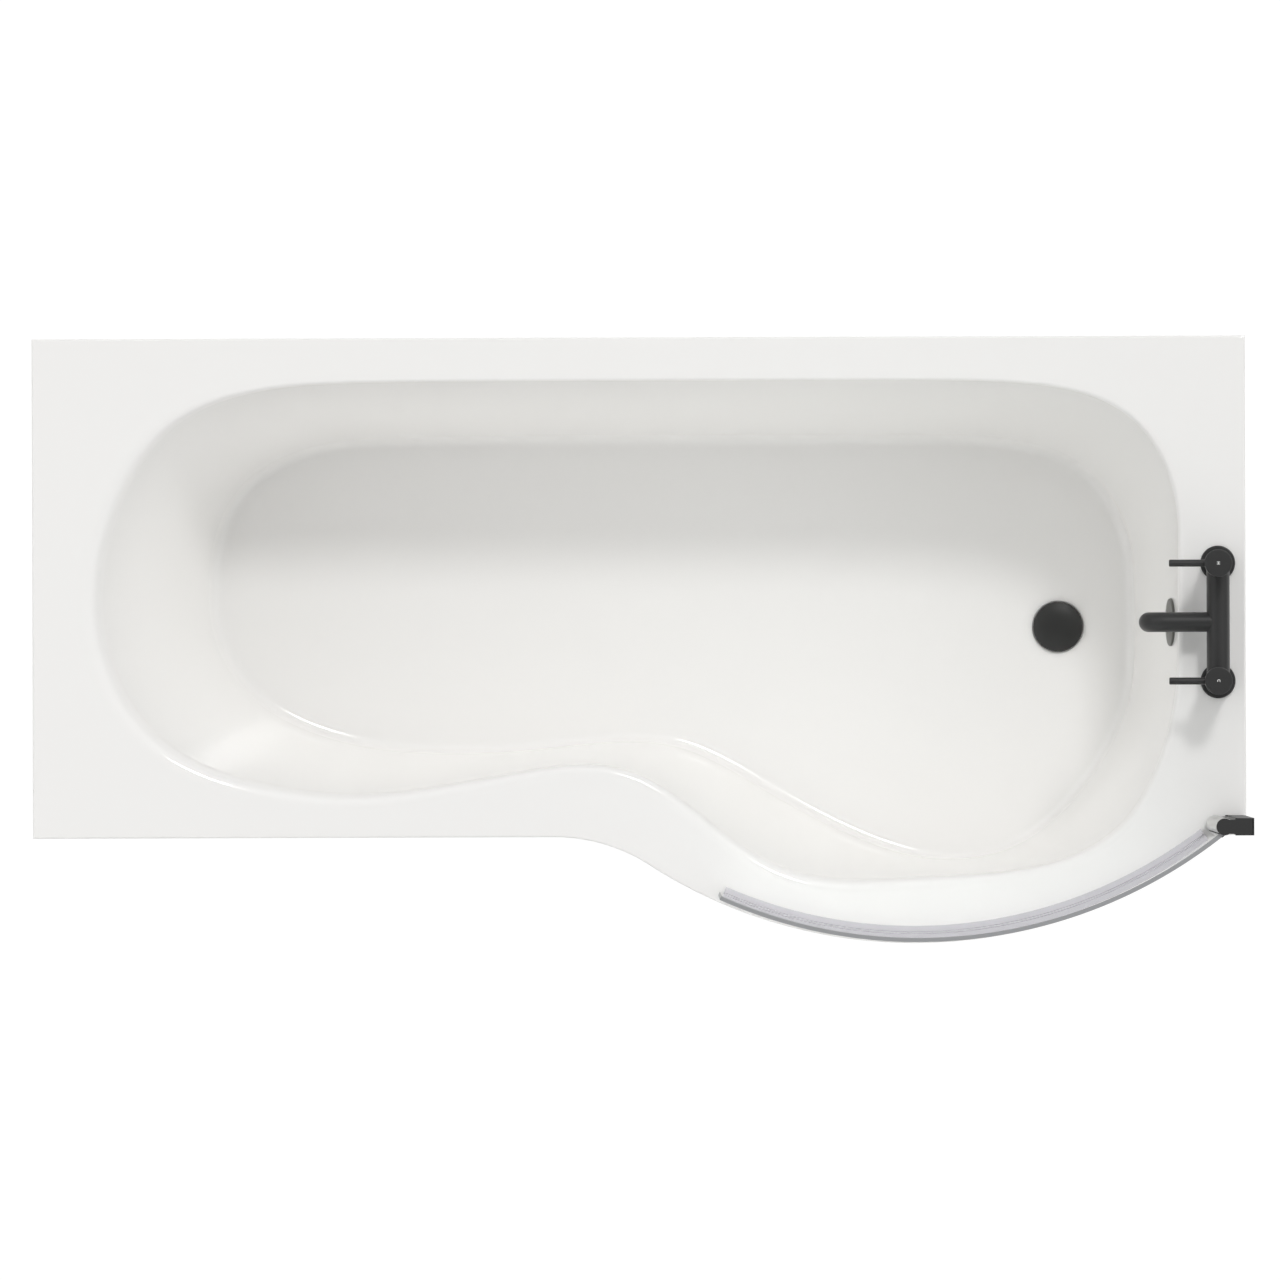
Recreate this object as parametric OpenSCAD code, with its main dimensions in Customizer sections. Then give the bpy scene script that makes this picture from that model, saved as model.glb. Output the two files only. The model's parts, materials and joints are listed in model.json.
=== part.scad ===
// P shaped shower bath: moulded tub, steel cradle, curved panel, waste and
// overflow, deck mounted bath filler and a curved glass screen on a pivot.
// Millimetres, +Z up. The origin is on the floor under the middle of the
// bath's 1700 x 850 plan, +X towards the taps and +Y towards the long wall.

/* [Bath] */
// Overall length of the rim
bath_length = 1700; // [1600:10:1800]
// Overall width of the rim across the bulge
bath_width = 850; // [830:5:880]
// Width of the rim at the narrow foot end
narrow_width = 700; // [680:5:720]
// Height of the flat rim above the floor
rim_z = 550; // [530:5:600]
// Depth of the well from the rim to the floor beside the waste
well_depth = 390; // [360:5:400]
// Thickness of the moulded acrylic and its glass fibre backing
shell_t = 7; // [5:0.5:8]
// Height of the turned down lip round the rim
lip_h = 30; // [25:1:34]
// Thickness of the turned down lip
lip_t = 5; // [4:0.5:6]
// Rise of the well's floor from the waste to the foot end, per metre
floor_fall = 7; // [0:1:10]

/* [Bulge] */
// Radius of the rim round the bulge
bulge_r = 684; // [670:1:700]
// Distance from the tap end to the centre of the bulge
bulge_from_tap = 464; // [455:1:470]
// Radius of the hollow curve between the straight front and the bulge
neck_r = 245; // [230:5:260]

/* [Well] */
// Flat rim along the long wall
wall_deck = 56; // [50:1:60]
// Flat rim at the tap end
tap_deck = 85; // [80:1:90]
// Flat rim at the foot end
foot_deck = 60; // [55:1:70]
// Flat rim along the narrow front
front_deck = 37; // [36:1:42]
// Flat rim at the bulge
bulge_deck = 69; // [66:1:80]
// How far the long wall of the well leans in from the rim to the floor
wall_run = 98; // [85:1:105]
// How far the wall at the tap end leans in
tap_run = 85; // [80:1:95]
// How far the backrest at the foot end leans in
foot_run = 205; // [190:1:220]
// How far the narrow front wall leans in
front_run = 95; // [88:1:105]
// How far the bulge's wall leans in
bulge_run = 58; // [52:1:66]
// Reach of the rounding between the walls and the floor
floor_round = 16; // [12:1:22]

/* [Base and feet] */
// Thickness of the board bonded under the well
board_t = 18; // [15:1:20]
// Gap from the edge of the well's floor in to the edge of the board
board_inset = 30; // [20:1:40]
// Height of the folded steel cradle rails
rail_h = 25; // [20:1:28]
// Width of the cradle rails
rail_w = 30; // [26:1:36]
// Sheet thickness of the cradle rails
rail_t = 1.6; // [1.2:0.1:2.5]
// Radius of the threaded studs
stud_r = 5; // [4:0.5:6]
// Radius of the foot pads
pad_r = 25; // [20:1:30]
// Height of the foot pads
pad_h = 22; // [18:1:26]
// Distance that each foot can be wound down
foot_travel = 25; // [15:1:25]
// Distance from the foot end to the first cradle rail
rail_from_foot = 430; // [400:10:480]
// Distance from the tap end to the second cradle rail
rail_from_tap = 380; // [360:5:400]

/* [Panel] */
// Thickness of the acrylic front panel
panel_t = 4; // [3:0.5:5]
// Gap between the lip and the panel
panel_gap = 0.8; // [0.5:0.1:1.5]
// Gap between the floor and the panel
panel_floor_gap = 2; // [1:0.5:6]

/* [Waste] */
// Distance from the tap end to the waste
waste_from_tap = 260.3; // [250:1:275]
// Distance from the bath's centreline to the waste
waste_y = 17.8; // [10:1:25]
// Radius of the domed plug
plug_r = 34.6; // [33:0.2:36]
// Travel of the plug between shut and open
plug_travel = 8; // [5:1:10]
// Radius of the waste's threaded tube
waste_tube_r = 24; // [22:0.5:26]
// Radius of the overflow rosette
rosette_r = 33.5; // [31:0.5:35]
// Drop from the rim to the overflow's centre
overflow_drop = 62; // [58:1:80]
// Outer radius of the overflow hose over its ribs
hose_r = 16; // [14:0.5:17]
// Distance between two ribs of the hose
rib_pitch = 8; // [7:0.5:12]
// Outer radius of the trap's outlet spigot
outlet_r = 21.5; // [20:0.5:22]

/* [Bath filler] */
// Distance between the two pillars of the filler
pillar_spacing = 165; // [150:1:185]
// Distance from the tap end to the pillars
pillar_from_tap = 39; // [36:0.5:42]
// Distance from the bath's centreline to the filler's centreline
tap_y = 23.5; // [15:0.5:30]
// Radius of the handle caps
cap_r = 19.3; // [18:0.1:21]
// Height of the handle caps' tops above the rim
cap_top = 115; // [110:1:125]
// Height of the handle caps
cap_h = 40; // [36:1:42]
// Radius of the flanges on the rim
flange_r = 24.5; // [23:0.5:26]
// Radius of the cross tube
bridge_r = 16.25; // [14:0.25:17]
// Height of the cross tube's centre above the rim
bridge_h = 44; // [42:1:48]
// Radius of the spout
spout_r = 13.85; // [12:0.25:14]
// Reach of the spout from the cross tube's centre
spout_reach = 111; // [100:1:125]
// Length of the levers from the centre of their caps
lever_reach = 68.5; // [55:0.5:75]
// Radius of the levers
lever_r = 5; // [4:0.25:6]
// Outer radius of the threaded tails
tail_r = 13.2; // [12:0.1:13.5]

/* [Screen] */
// Height of the glass
glass_h = 1400; // [1300:10:1500]
// Thickness of the glass
glass_t = 6; // [5:0.5:8]
// Distance from the rim's edge in to the glass at the bulge
glass_inset = 8.5; // [7:0.5:10]
// Angle that the glass covers round the bulge's centre
glass_sweep = 62.8; // [60:0.2:63.4]
// Distance from the tap end in to the tiles that carry the screen
tile_in = 3.5; // [0:0.5:6]
// Distance from the tiles to the pivot
pivot_from_wall = 40.5; // [39:0.5:42]
// Distance from the middle of the glass in to the pivot
pivot_in = 5.6; // [5.2:0.1:6]
// Radius of the pivot tube
pivot_tube_r = 12; // [11:0.25:12.5]
// Radius of the pivot pins
pivot_pin_r = 3; // [2.5:0.25:3.5]
// Width of the wall channel
channel_w = 24; // [22:0.5:25]
// Sheet thickness of the wall channel
channel_t = 1.6; // [1.2:0.1:2]
// Distance between the two wall fixings
fixing_spacing = 1200; // [1000:10:1250]

/* [Clearances] */
// Radial clearance of a shaft or thread in its hole
run_gap = 0.05; // [0.03:0.01:0.08]
// Radial clearance of pieces that are screwed or pushed together
fit_gap = 0.12; // [0.08:0.01:0.2]
// Gap between pieces that pass each other
free_gap = 0.4; // [0.3:0.05:0.6]

/* [Hidden] */

white_acrylic = "#efefed";
black_metal = "#3a3a3a";
steel = "#b9bcc0";

// Lines of the plan
tap_x = bath_length/2;
foot_x = -bath_length/2;
wall_y = bath_width/2;
front_y = wall_y - narrow_width;
apex_y = -bath_width/2;
bulge_x = tap_x - bulge_from_tap;
bulge_y = apex_y + bulge_r;
neck_y = front_y - neck_r;
neck_x = bulge_x - sqrt(pow(bulge_r + neck_r, 2) - pow(bulge_y - neck_y, 2));
big_fn = 240;

// x where the hollow neck curve passes into the bulge
function join_x(inset) = neck_x + (bulge_x - neck_x)*(neck_r + inset)/(bulge_r + neck_r);

// y of the front edge at x, with the outline drawn in by inset
function edge_y(x, inset=0) =
  x <= neck_x ? front_y + inset :
  x <= join_x(inset) ? neck_y + sqrt(pow(neck_r + inset, 2) - pow(x - neck_x, 2)) :
  min(bulge_y - sqrt(pow(bulge_r - inset, 2) - pow(x - bulge_x, 2)), front_y + inset);

// x where the bulge comes back to the line of the straight front
ledge_x = bulge_x + sqrt(pow(bulge_r, 2) - pow(bulge_y - front_y, 2));
join_x0 = join_x(0);

// Lines of the well where the flat rim ends, and where the floor begins
rim_tap = tap_x - tap_deck;
rim_foot = foot_x + foot_deck;
rim_wall = wall_y - wall_deck;
rim_front = front_y + front_deck;
rim_bulge = apex_y + bulge_deck;
floor_tap = rim_tap - tap_run;
floor_foot = rim_foot + foot_run;
floor_wall = rim_wall - wall_run;
floor_front = rim_front + front_run;
floor_bulge = rim_bulge + bulge_run;
floor_z = rim_z - well_depth;
under_z = floor_z - shell_t;

// Stations round the well, clockwise from the long wall. Each row holds the
// rim's edge (on the front only its x), the control point of the curve where
// the flat rim ends, that of the curve where the floor begins, and how far
// the rim rolls over into the wall there.
stations = [
  [[foot_x + 420, wall_y], [rim_foot + 360, rim_wall], [floor_foot + 215, floor_wall], 5],
  [[-150, wall_y], [-150, rim_wall], [-140, floor_wall], 4],
  [[150, wall_y], [150, rim_wall], [150, floor_wall], 4],
  [[tap_x - 430, wall_y], [rim_tap - 345, rim_wall], [floor_tap - 280, floor_wall], 4],
  [[tap_x - 250, wall_y], [rim_tap - 205, rim_wall - 3], [floor_tap - 180, floor_wall], 5],
  [[tap_x, wall_y], [rim_tap - 92, rim_wall - 26], [floor_tap - 90, floor_wall - 20], 7],
  [[tap_x, wall_y - 140], [rim_tap - 25, rim_wall - 93], [floor_tap - 40, floor_wall - 62], 9],
  [[tap_x, wall_y - 225], [rim_tap + 2, rim_wall - 179], [floor_tap - 8, floor_wall - 121], 9],
  [[tap_x, 110], [rim_tap, 110], [floor_tap, 100], 9],
  [[tap_x, 30], [rim_tap, 30], [floor_tap, 27], 9],
  [[tap_x, -50], [rim_tap, -50], [floor_tap, -42], 9],
  [[tap_x, -115], [rim_tap - 8, -117], [floor_tap - 9, -92], 10],
  [[tap_x, -180], [rim_tap - 27, -185], [floor_tap - 35, -150], 12],
  [[tap_x, front_y], [rim_tap - 63, rim_bulge + 95], [floor_tap - 80, floor_bulge + 82], 14],
  [ledge_x, [bulge_x + 245, rim_bulge + 42], [bulge_x + 155, floor_bulge + 27], 16],
  [bulge_x + 270, [bulge_x + 145, rim_bulge + 21], [bulge_x + 85, floor_bulge - 4], 17],
  [bulge_x + 130, [bulge_x + 35, rim_bulge + 8], [bulge_x + 5, floor_bulge + 4], 18],
  [bulge_x, [bulge_x - 75, rim_bulge - 2], [bulge_x - 65, floor_bulge + 31], 18],
  [bulge_x - 120, [bulge_x - 170, rim_bulge + 6], [bulge_x - 135, floor_bulge + 65], 17],
  [join_x0 + 160, [bulge_x - 245, rim_bulge + 47], [bulge_x - 200, floor_bulge + 103], 15],
  [join_x0 + 75, [bulge_x - 315, rim_bulge + 105], [bulge_x - 265, floor_bulge + 143], 14],
  [join_x0, [neck_x + 130, rim_front + 36], [bulge_x - 340, floor_front + 19], 13],
  [neck_x, [neck_x + 52, rim_front + 58], [neck_x + 72, floor_front + 17], 13],
  [neck_x - 90, [neck_x - 40, rim_front + 43], [neck_x - 30, floor_front + 4], 14],
  [neck_x - 190, [neck_x - 160, rim_front + 18], [neck_x - 140, floor_front], 16],
  [neck_x - 310, [neck_x - 280, rim_front], [floor_foot + 215, floor_front + 8], 18],
  [foot_x + 320, [rim_foot + 270, rim_front + 12], [floor_foot + 130, floor_front + 30], 20],
  [[foot_x, front_y], [rim_foot + 140, rim_front + 48], [floor_foot + 60, floor_front + 68], 22],
  [[foot_x, -140], [rim_foot + 53, rim_front + 120], [floor_foot + 18, -22], 24],
  [[foot_x, -40], [rim_foot + 10, -25], [floor_foot, 35], 26],
  [[foot_x, 65], [rim_foot, 65], [floor_foot, 95], 26],
  [[foot_x, 170], [rim_foot + 18, 165], [floor_foot + 10, 160], 24],
  [[foot_x, 290], [rim_foot + 66, rim_wall - 108], [floor_foot + 45, floor_wall - 49], 20],
  [[foot_x, wall_y], [rim_foot + 135, rim_wall - 41], [floor_foot + 105, floor_wall - 18], 14],
  [[foot_x + 290, wall_y], [rim_foot + 245, rim_wall - 9], [floor_foot + 160, floor_wall - 3], 8]
];
station_n = len(stations);
steps = 4;
round_n = station_n*steps;

// Closed cubic B-spline through column c of the stations
function station(i) = stations[(i + station_n)%station_n];
function curve(c, i, t) =
  (pow(1 - t, 3)*station(i - 1)[c] + (3*pow(t, 3) - 6*t*t + 4)*station(i)[c]
  + (3*t + 3*t*t - 3*pow(t, 3) + 1)*station(i + 1)[c] + pow(t, 3)*station(i + 2)[c])/6;

// Point of the rim's edge between stations i and i+1, drawn in by inset
function edge_point(a) = is_num(a) ? [a, edge_y(a)] : a;
function edge(i, t, inset) =
  let (a = station(i)[0], b = station(i + 1)[0])
  let (p = edge_point(a)*(1 - t) + edge_point(b)*t)
  let (x = max(foot_x + inset, min(tap_x - inset, p.x)))
  let (on_front = is_num(a) || is_num(b))
  [x, on_front ? edge_y(x, inset) : max(edge_y(x, inset), min(wall_y - inset, p.y))];

function bend(p, q, r, n) = [for (k = [0:n]) let (t = k/n)
  (1 - t)*(1 - t)*p + 2*t*(1 - t)*q + t*t*r];
function fall_z(x) = floor_z + (tap_x - waste_from_tap - x)*floor_fall/1000;

// One side of the well's wall: a line from the floor's corner up to the rim's
// corner, rounded at both. Points run from the floor up to the rim.
function wall_line(rim, flr, out, roll, low, high, n_low, n_high) =
  let (up = unit(rim - flr))
  concat(
    bend([flr.x, flr.y, flr.z] - low*[out.x, out.y, 0], flr, flr + low*up, n_low),
    bend(rim - high*up, rim, rim + roll*[out.x, out.y, 0], n_high));
function unit(v) = v/norm(v);

// Section of the moulding at one place, from the inside of the floor over the
// rim and its lip to the underside of the floor
function section(i, t) =
  let (b = curve(1, i, t), c = curve(2, i, t), roll = curve(3, i, t))
  let (out = unit(b - c))
  let (top = b - roll*out, foot = c + floor_round*out)
  let (rim = [top.x, top.y, rim_z], flr = [foot.x, foot.y, fall_z(foot.x)])
  let (lean = norm(top - foot)/(rim_z - flr.z))
  let (side = shell_t*sqrt(1 + lean*lean))
  let (rim_o = concat(top + out*(side - shell_t*lean), rim_z - shell_t))
  let (flr_o = concat(foot + out*(side - (flr.z - under_z)*lean), under_z))
  let (e0 = edge(i, t, 0), e1 = edge(i, t, 1.5), e2 = edge(i, t, lip_t))
  let (inner = wall_line(rim, flr, out, roll, floor_round, roll, 4, 5))
  let (outer = wall_line(rim_o, flr_o, out, 2, floor_round + 3, 2, 3, 1))
  concat(
    [for (k = [0:len(inner) - 1]) k == 0 ? [inner[0].x, inner[0].y, fall_z(inner[0].x)]
      : inner[k]],
    [concat(e1, rim_z), concat(e0, rim_z - 1.5), concat(e0, rim_z - lip_h),
     concat(e2, rim_z - lip_h), concat(e2, rim_z - shell_t)],
    [for (k = [len(outer) - 1:-1:0]) outer[k]]);

// ---------------------------------------------------------------- the tub

module shell_body() {
  rows = [for (i = [0:station_n - 1], k = [0:steps - 1]) section(i, k/steps)];
  m = len(rows[0]);
  points = [for (row = rows, p = row) p];
  sides = [for (j = [0:round_n - 1], k = [0:m - 2])
    let (a = j*m + k, b = ((j + 1)%round_n)*m + k)
    each [[a, a + 1, b + 1], [a, b + 1, b]]];
  inside = [for (j = [0:round_n - 1]) j*m];
  outside = [for (j = [round_n - 1:-1:0]) j*m + m - 1];
  polyhedron(points, concat(sides, [inside, outside]), convexity=8);
}

waste_x = tap_x - waste_from_tap;
pillar_x = tap_x - pillar_from_tap;
pillars = [tap_y + pillar_spacing/2, tap_y - pillar_spacing/2];
deck_hole_r = tail_r + 2;
waste_hole_r = waste_tube_r + 1.5;
waste_recess = 3;
waste_seat_r = plug_r + 3;
overflow_hole_r = 24;
// Slope of the wall at the tap end
tap_roll = stations[9][3];
tap_lean = (tap_run - tap_roll - floor_round)/(rim_z - fall_z(floor_tap + floor_round));
tap_slope = atan(tap_lean);
overflow_z = rim_z - overflow_drop;
overflow_x = rim_tap - tap_roll - overflow_drop*tap_lean;

module at_overflow() {
  translate([overflow_x, tap_y, overflow_z])
    rotate([0, tap_slope - 90, 0])
      children();
}

module at_pillars() {
  for (y = pillars)
    translate([pillar_x, y, rim_z])
      children();
}

module at_waste(z) {
  translate([waste_x, waste_y, z])
    children();
}

seat_z = floor_z - waste_recess;
module bath_shell() {
  color(white_acrylic)
  difference() {
    shell_body();
    at_pillars()
      translate([0, 0, -2*shell_t])
        cylinder(h=3*shell_t, r=deck_hole_r, $fn=48);
    at_waste(0) {
      translate([0, 0, under_z - 1])
        cylinder(h=30, r=waste_hole_r, $fn=64);
      translate([0, 0, seat_z])
        cylinder(h=waste_recess + 6, r1=waste_seat_r, r2=waste_seat_r + 15, $fn=64);
    }
    at_overflow()
      translate([0, 0, -3*shell_t])
        cylinder(h=6*shell_t, r=overflow_hole_r, $fn=64);
  }
}

// Outline of the well's floor drawn in by inset
function floor_point(i, t, inset) =
  let (b = curve(1, i, t), c = curve(2, i, t))
  c - inset*unit(b - c);
board_z = under_z - board_t;
board_notch = 62;

module base_board() {
  color("#c9b28a")
  difference() {
    board_blank();
    for (p = board_screw_places)
      translate([p.x, p.y, board_z - 1])
        cylinder(h=board_t/2 + 1, r=screw_r + fit_gap, $fn=24);
  }
}
module board_blank() {
  translate([0, 0, board_z])
    linear_extrude(board_t)
      difference() {
        polygon([for (i = [0:station_n - 1], k = [0:steps - 1])
          floor_point(i, k/steps, board_inset)]);
        translate([waste_x - board_notch, waste_y - board_notch])
          square([4*board_notch, 2*board_notch]);
        translate([waste_x - board_notch, waste_y])
          circle(r=board_notch, $fn=64);
      }
}

// Timber battens bonded under the rim, with their lower edges eased
batten_h = 24;
batten_ease = 2;
batten_gap = 0.5;
module batten(x0, x1, y0, y1, z0, z1) {
  translate([x0, 0, 0])
    rotate([90, 0, 90])
      linear_extrude(x1 - x0)
        polygon([[y0, z1], [y0, z0 + batten_ease], [y0 + batten_ease, z0],
          [y1 - batten_ease, z0], [y1, z0 + batten_ease], [y1, z1]]);
}

batten_z = rim_z - shell_t - batten_h;
wall_batten_w = wall_deck - lip_t - shell_t - 10;
wall_batten_from_end = 330;
module rim_batten_wall() {
  color("#cbb185")
    batten(foot_x + wall_batten_from_end, tap_x - wall_batten_from_end,
      wall_y - lip_t - batten_gap - wall_batten_w, wall_y - lip_t - batten_gap,
      batten_z, rim_z - shell_t);
}

panel_out = lip_t + panel_gap;
panel_in = panel_out + panel_t;
front_batten_w = front_deck - panel_in - shell_t + 2;
front_batten_from_foot = 290;
front_batten_from_neck = 40;
module rim_batten_front() {
  color("#cbb185")
    batten(foot_x + front_batten_from_foot, neck_x - front_batten_from_neck,
      front_y + panel_in + batten_gap, front_y + panel_in + batten_gap + front_batten_w,
      batten_z, rim_z - shell_t);
}

// ------------------------------------------------------- cradle and feet

rail_z = board_z - rail_h;
rail_xs = [foot_x + rail_from_foot, tap_x - rail_from_tap];
wall_foot_y = wall_y - 95;
front_feet_y = [front_y + 70, apex_y + 85];
centre_foot = [20, 60];
foot_places = [
  [rail_xs[0], wall_foot_y], [rail_xs[0], front_feet_y[0]],
  [rail_xs[1], wall_foot_y], [rail_xs[1], front_feet_y[1]],
  centre_foot
];
rail_end = 20;
screw_r = 2.5;
screw_ys = [floor_wall - 75, 45, floor_front + 65];

module cradle_rail(k) {
  y0 = front_feet_y[k] - rail_end;
  y1 = wall_foot_y + rail_end;
  difference() {
    translate([rail_xs[k], y1, rail_z])
      rotate([90, 0, 0])
        linear_extrude(y1 - y0)
          difference() {
            translate([-rail_w/2, 0])
              square([rail_w, rail_h]);
            translate([-rail_w/2 + rail_t, -1])
              square([rail_w - 2*rail_t, rail_h - rail_t + 1]);
          }
    for (y = [front_feet_y[k], wall_foot_y])
      translate([rail_xs[k], y, rail_z])
        cylinder(h=rail_h + 1, r=stud_r + 0.5, $fn=32);
    for (y = screw_ys)
      translate([rail_xs[k], y, rail_z])
        cylinder(h=rail_h + 1, r=screw_r + 0.3, $fn=24);
  }
}

module cradle_rail_foot_end() {
  color(steel) cradle_rail(0);
}
module cradle_rail_tap_end() {
  color(steel) cradle_rail(1);
}

bracket_w = 70;
bracket_t = 3;
sleeve_h = 34;
bracket_screws = [for (a = [45:90:315]) centre_foot + 36*[cos(a), sin(a)]];
module centre_leg_bracket() {
  color(steel)
  difference() {
    union() {
      translate([centre_foot.x - bracket_w/2, centre_foot.y - bracket_w/2, board_z - bracket_t])
        cube([bracket_w, bracket_w, bracket_t]);
      translate([centre_foot.x, centre_foot.y, board_z - sleeve_h])
        cylinder(h=sleeve_h, r=2*stud_r, $fn=48);
    }
    translate([centre_foot.x, centre_foot.y, board_z - sleeve_h - 1])
      cylinder(h=sleeve_h + 2, r=stud_r + run_gap, $fn=48);
    for (p = bracket_screws)
      translate([p.x, p.y, board_z - bracket_t - 1])
        cylinder(h=bracket_t + 2, r=screw_r + 0.3, $fn=24);
  }
}

// Pan head screws driven up into the board
screw_head_h = 3;
rail_screw_places = [for (x = rail_xs, y = screw_ys) [x, y, board_z - rail_t]];
bracket_screw_places = [for (p = bracket_screws) [p.x, p.y, board_z - bracket_t]];
board_screw_places = concat(rail_screw_places, bracket_screw_places);
module rail_screws() {
  color(steel)
    for (p = board_screw_places)
      translate([p.x, p.y, p.z - screw_head_h]) {
        cylinder(h=screw_head_h, r=2*screw_r, $fn=24);
        cylinder(h=board_z + board_t/2 - 1 - p.z + screw_head_h, r=screw_r, $fn=24);
      }
}

pad_floor = 8;
nut_h = 8;
nut_af = 3.4*stud_r;
stud_top = board_z + nut_h + foot_travel;
centre_stud_top = board_z - 2;

module levelling_stud(k) {
  color(steel)
  translate([foot_places[k].x, foot_places[k].y, pad_floor])
    cylinder(h=(k == 4 ? centre_stud_top : stud_top) - pad_floor, r=stud_r, $fn=48);
}
module foot_pad(k) {
  color("#2b2b2b")
  translate([foot_places[k].x, foot_places[k].y, 0])
    rotate_extrude($fn=64)
      polygon([[0, 0], [pad_r - 1.5, 0], [pad_r, 1.5], [pad_r, pad_floor - 2],
        [pad_r - 3, pad_floor], [stud_r + 6, pad_floor + 2], [stud_r + 4, pad_h],
        [stud_r + fit_gap, pad_h], [stud_r + fit_gap, pad_floor], [0, pad_floor]]);
}

module nut(h, af, bore) {
  difference() {
    cylinder(h=h, r=af/2/cos(30), $fn=6);
    translate([0, 0, -1])
      cylinder(h=h + 2, r=bore, $fn=48);
  }
}
module lock_nuts() {
  color(steel)
    for (k = [0:3])
      translate([foot_places[k].x, foot_places[k].y, 0]) {
        translate([0, 0, board_z])
          nut(nut_h, nut_af, stud_r + run_gap);
        translate([0, 0, board_z - rail_t - nut_h])
          nut(nut_h, nut_af, stud_r + run_gap);
      }
}

// Angle brackets that tie the rim's batten back to the wall
wall_bracket_w = 40;
wall_bracket_h = 48;
wall_bracket_t = 2.5;
wall_bracket_from_end = 400;
wall_bracket_xs = [foot_x + wall_bracket_from_end, tap_x - wall_bracket_from_end];
fixing_r = 3;
module wall_brackets() {
  reach = wall_batten_w + lip_t;
  color(steel)
  for (x = wall_bracket_xs)
    difference() {
      translate([x - wall_bracket_w/2, wall_y - reach, batten_z - wall_bracket_h])
        rotate([90, 0, 90])
          linear_extrude(wall_bracket_w)
            polygon([[0, wall_bracket_h], [reach, wall_bracket_h], [reach, 0],
              [reach - wall_bracket_t, 0],
              [reach - wall_bracket_t, wall_bracket_h - wall_bracket_t],
              [0, wall_bracket_h - wall_bracket_t]]);
      translate([x, wall_y - reach + 14, batten_z - 2*wall_bracket_t])
        cylinder(h=3*wall_bracket_t, r=fixing_r, $fn=32);
      translate([x, wall_y + 1, batten_z - wall_bracket_h/2])
        rotate([90, 0, 0])
          cylinder(h=2*wall_bracket_t, r=fixing_r, $fn=32);
    }
}

// ------------------------------------------------------------ front panel

panel_z = panel_floor_gap;
panel_top = rim_z - shell_t - 2;
panel_screw_z = 11;
panel_shank_r = 1.8;
panel_screw_xs = [foot_x + 80, (foot_x + neck_x)/2, neck_x - 50];
module panel_holes(r) {
  for (x = panel_screw_xs)
    translate([x, front_y + panel_out - 1, panel_screw_z])
      rotate([-90, 0, 0])
        cylinder(h=18, r=r, $fn=24);
}
// Direction of the line from the neck's centre to the bulge's, on which the
// two curves meet, and the direction of the corner where the bulge ends
join_turn = atan2(bulge_y - neck_y, bulge_x - neck_x);
corner_turn = asin((front_y + panel_out - bulge_y)/(bulge_r - panel_out));
corner_x = bulge_x + (bulge_r - panel_in)*cos(corner_turn) - 0.5;
module panel_arc(centre, r, from, to) {
  translate([centre.x, centre.y, panel_z])
    rotate_extrude(angle=to - from, start=from, $fn=big_fn)
      translate([r, 0])
        square([panel_t, panel_top - panel_z]);
}
module panel_strip(x0, x1) {
  translate([x0, front_y + panel_out, panel_z])
    cube([x1 - x0, panel_t, panel_top - panel_z]);
}
module front_panel() {
  color(white_acrylic)
  difference() {
    union() {
      panel_strip(foot_x + panel_out, neck_x);
      panel_arc([neck_x, neck_y], neck_r + panel_out, join_turn, 90);
      panel_arc([bulge_x, bulge_y], bulge_r - panel_in, join_turn - 180, corner_turn);
      panel_strip(corner_x, tap_x - panel_out);
    }
    panel_holes(panel_shank_r + fit_gap);
  }
}

floor_batten_h = 22;
floor_batten_w = 20;
module panel_floor_batten() {
  color("#cbb185")
  difference() {
    batten(foot_x + 40, neck_x - 10, front_y + panel_in + batten_gap,
      front_y + panel_in + batten_gap + floor_batten_w, 0, floor_batten_h);
    panel_holes(panel_shank_r + fit_gap);
  }
}

module panel_screws() {
  color(steel)
  for (x = panel_screw_xs)
    translate([x, front_y + panel_out, panel_screw_z])
      rotate([90, 0, 0])
        rotate_extrude($fn=32)
          polygon([[0, -14], [panel_shank_r, -14], [panel_shank_r, 0], [4.5, 0],
            [3.5, 1.6], [0, 2.2]]);
}

// ------------------------------------------------------ waste and overflow

flange_t = 3;
seal_t = 2;
plug_gap = free_gap;
plug_rim_h = 4;
plug_dome = 5;
body_z = under_z - seal_t;
body_h = 40;
tube_h = 42;

stem_r = 5;
stem_len = 26;
guide_r = 9;
hub_h = 8;
hub_z = -stem_len + plug_gap + flange_t + 2.5;
slot_w = 9;
module waste_flange() {
  color(black_metal)
  at_waste(seat_z + seal_t)
    difference() {
      union() {
        rotate_extrude($fn=96)
          polygon([[waste_tube_r - 4, flange_t - 1.5], [waste_tube_r - 4, -tube_h + flange_t],
            [waste_tube_r, -tube_h + flange_t], [waste_tube_r, 0], [plug_r, 0],
            [plug_r + 0.5, flange_t - 1], [plug_r - 1, flange_t], [waste_tube_r - 1, flange_t]]);
        translate([0, 0, hub_z])
          cylinder(h=hub_h, r=stem_r + 4, $fn=48);
        for (a = [30:120:270])
          rotate([0, 0, a])
            translate([stem_r + 2, -1.5, hub_z])
              cube([waste_tube_r - stem_r - 4, 3, hub_h]);
      }
      translate([0, 0, hub_z - 1])
        cylinder(h=hub_h + 2, r=stem_r + run_gap, $fn=48);
      for (a = [0:90:270])
        rotate([0, 0, a])
          translate([waste_tube_r - 8, -slot_w/2, -tube_h + flange_t + 6])
            cube([12, slot_w, 12]);
    }
}

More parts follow.
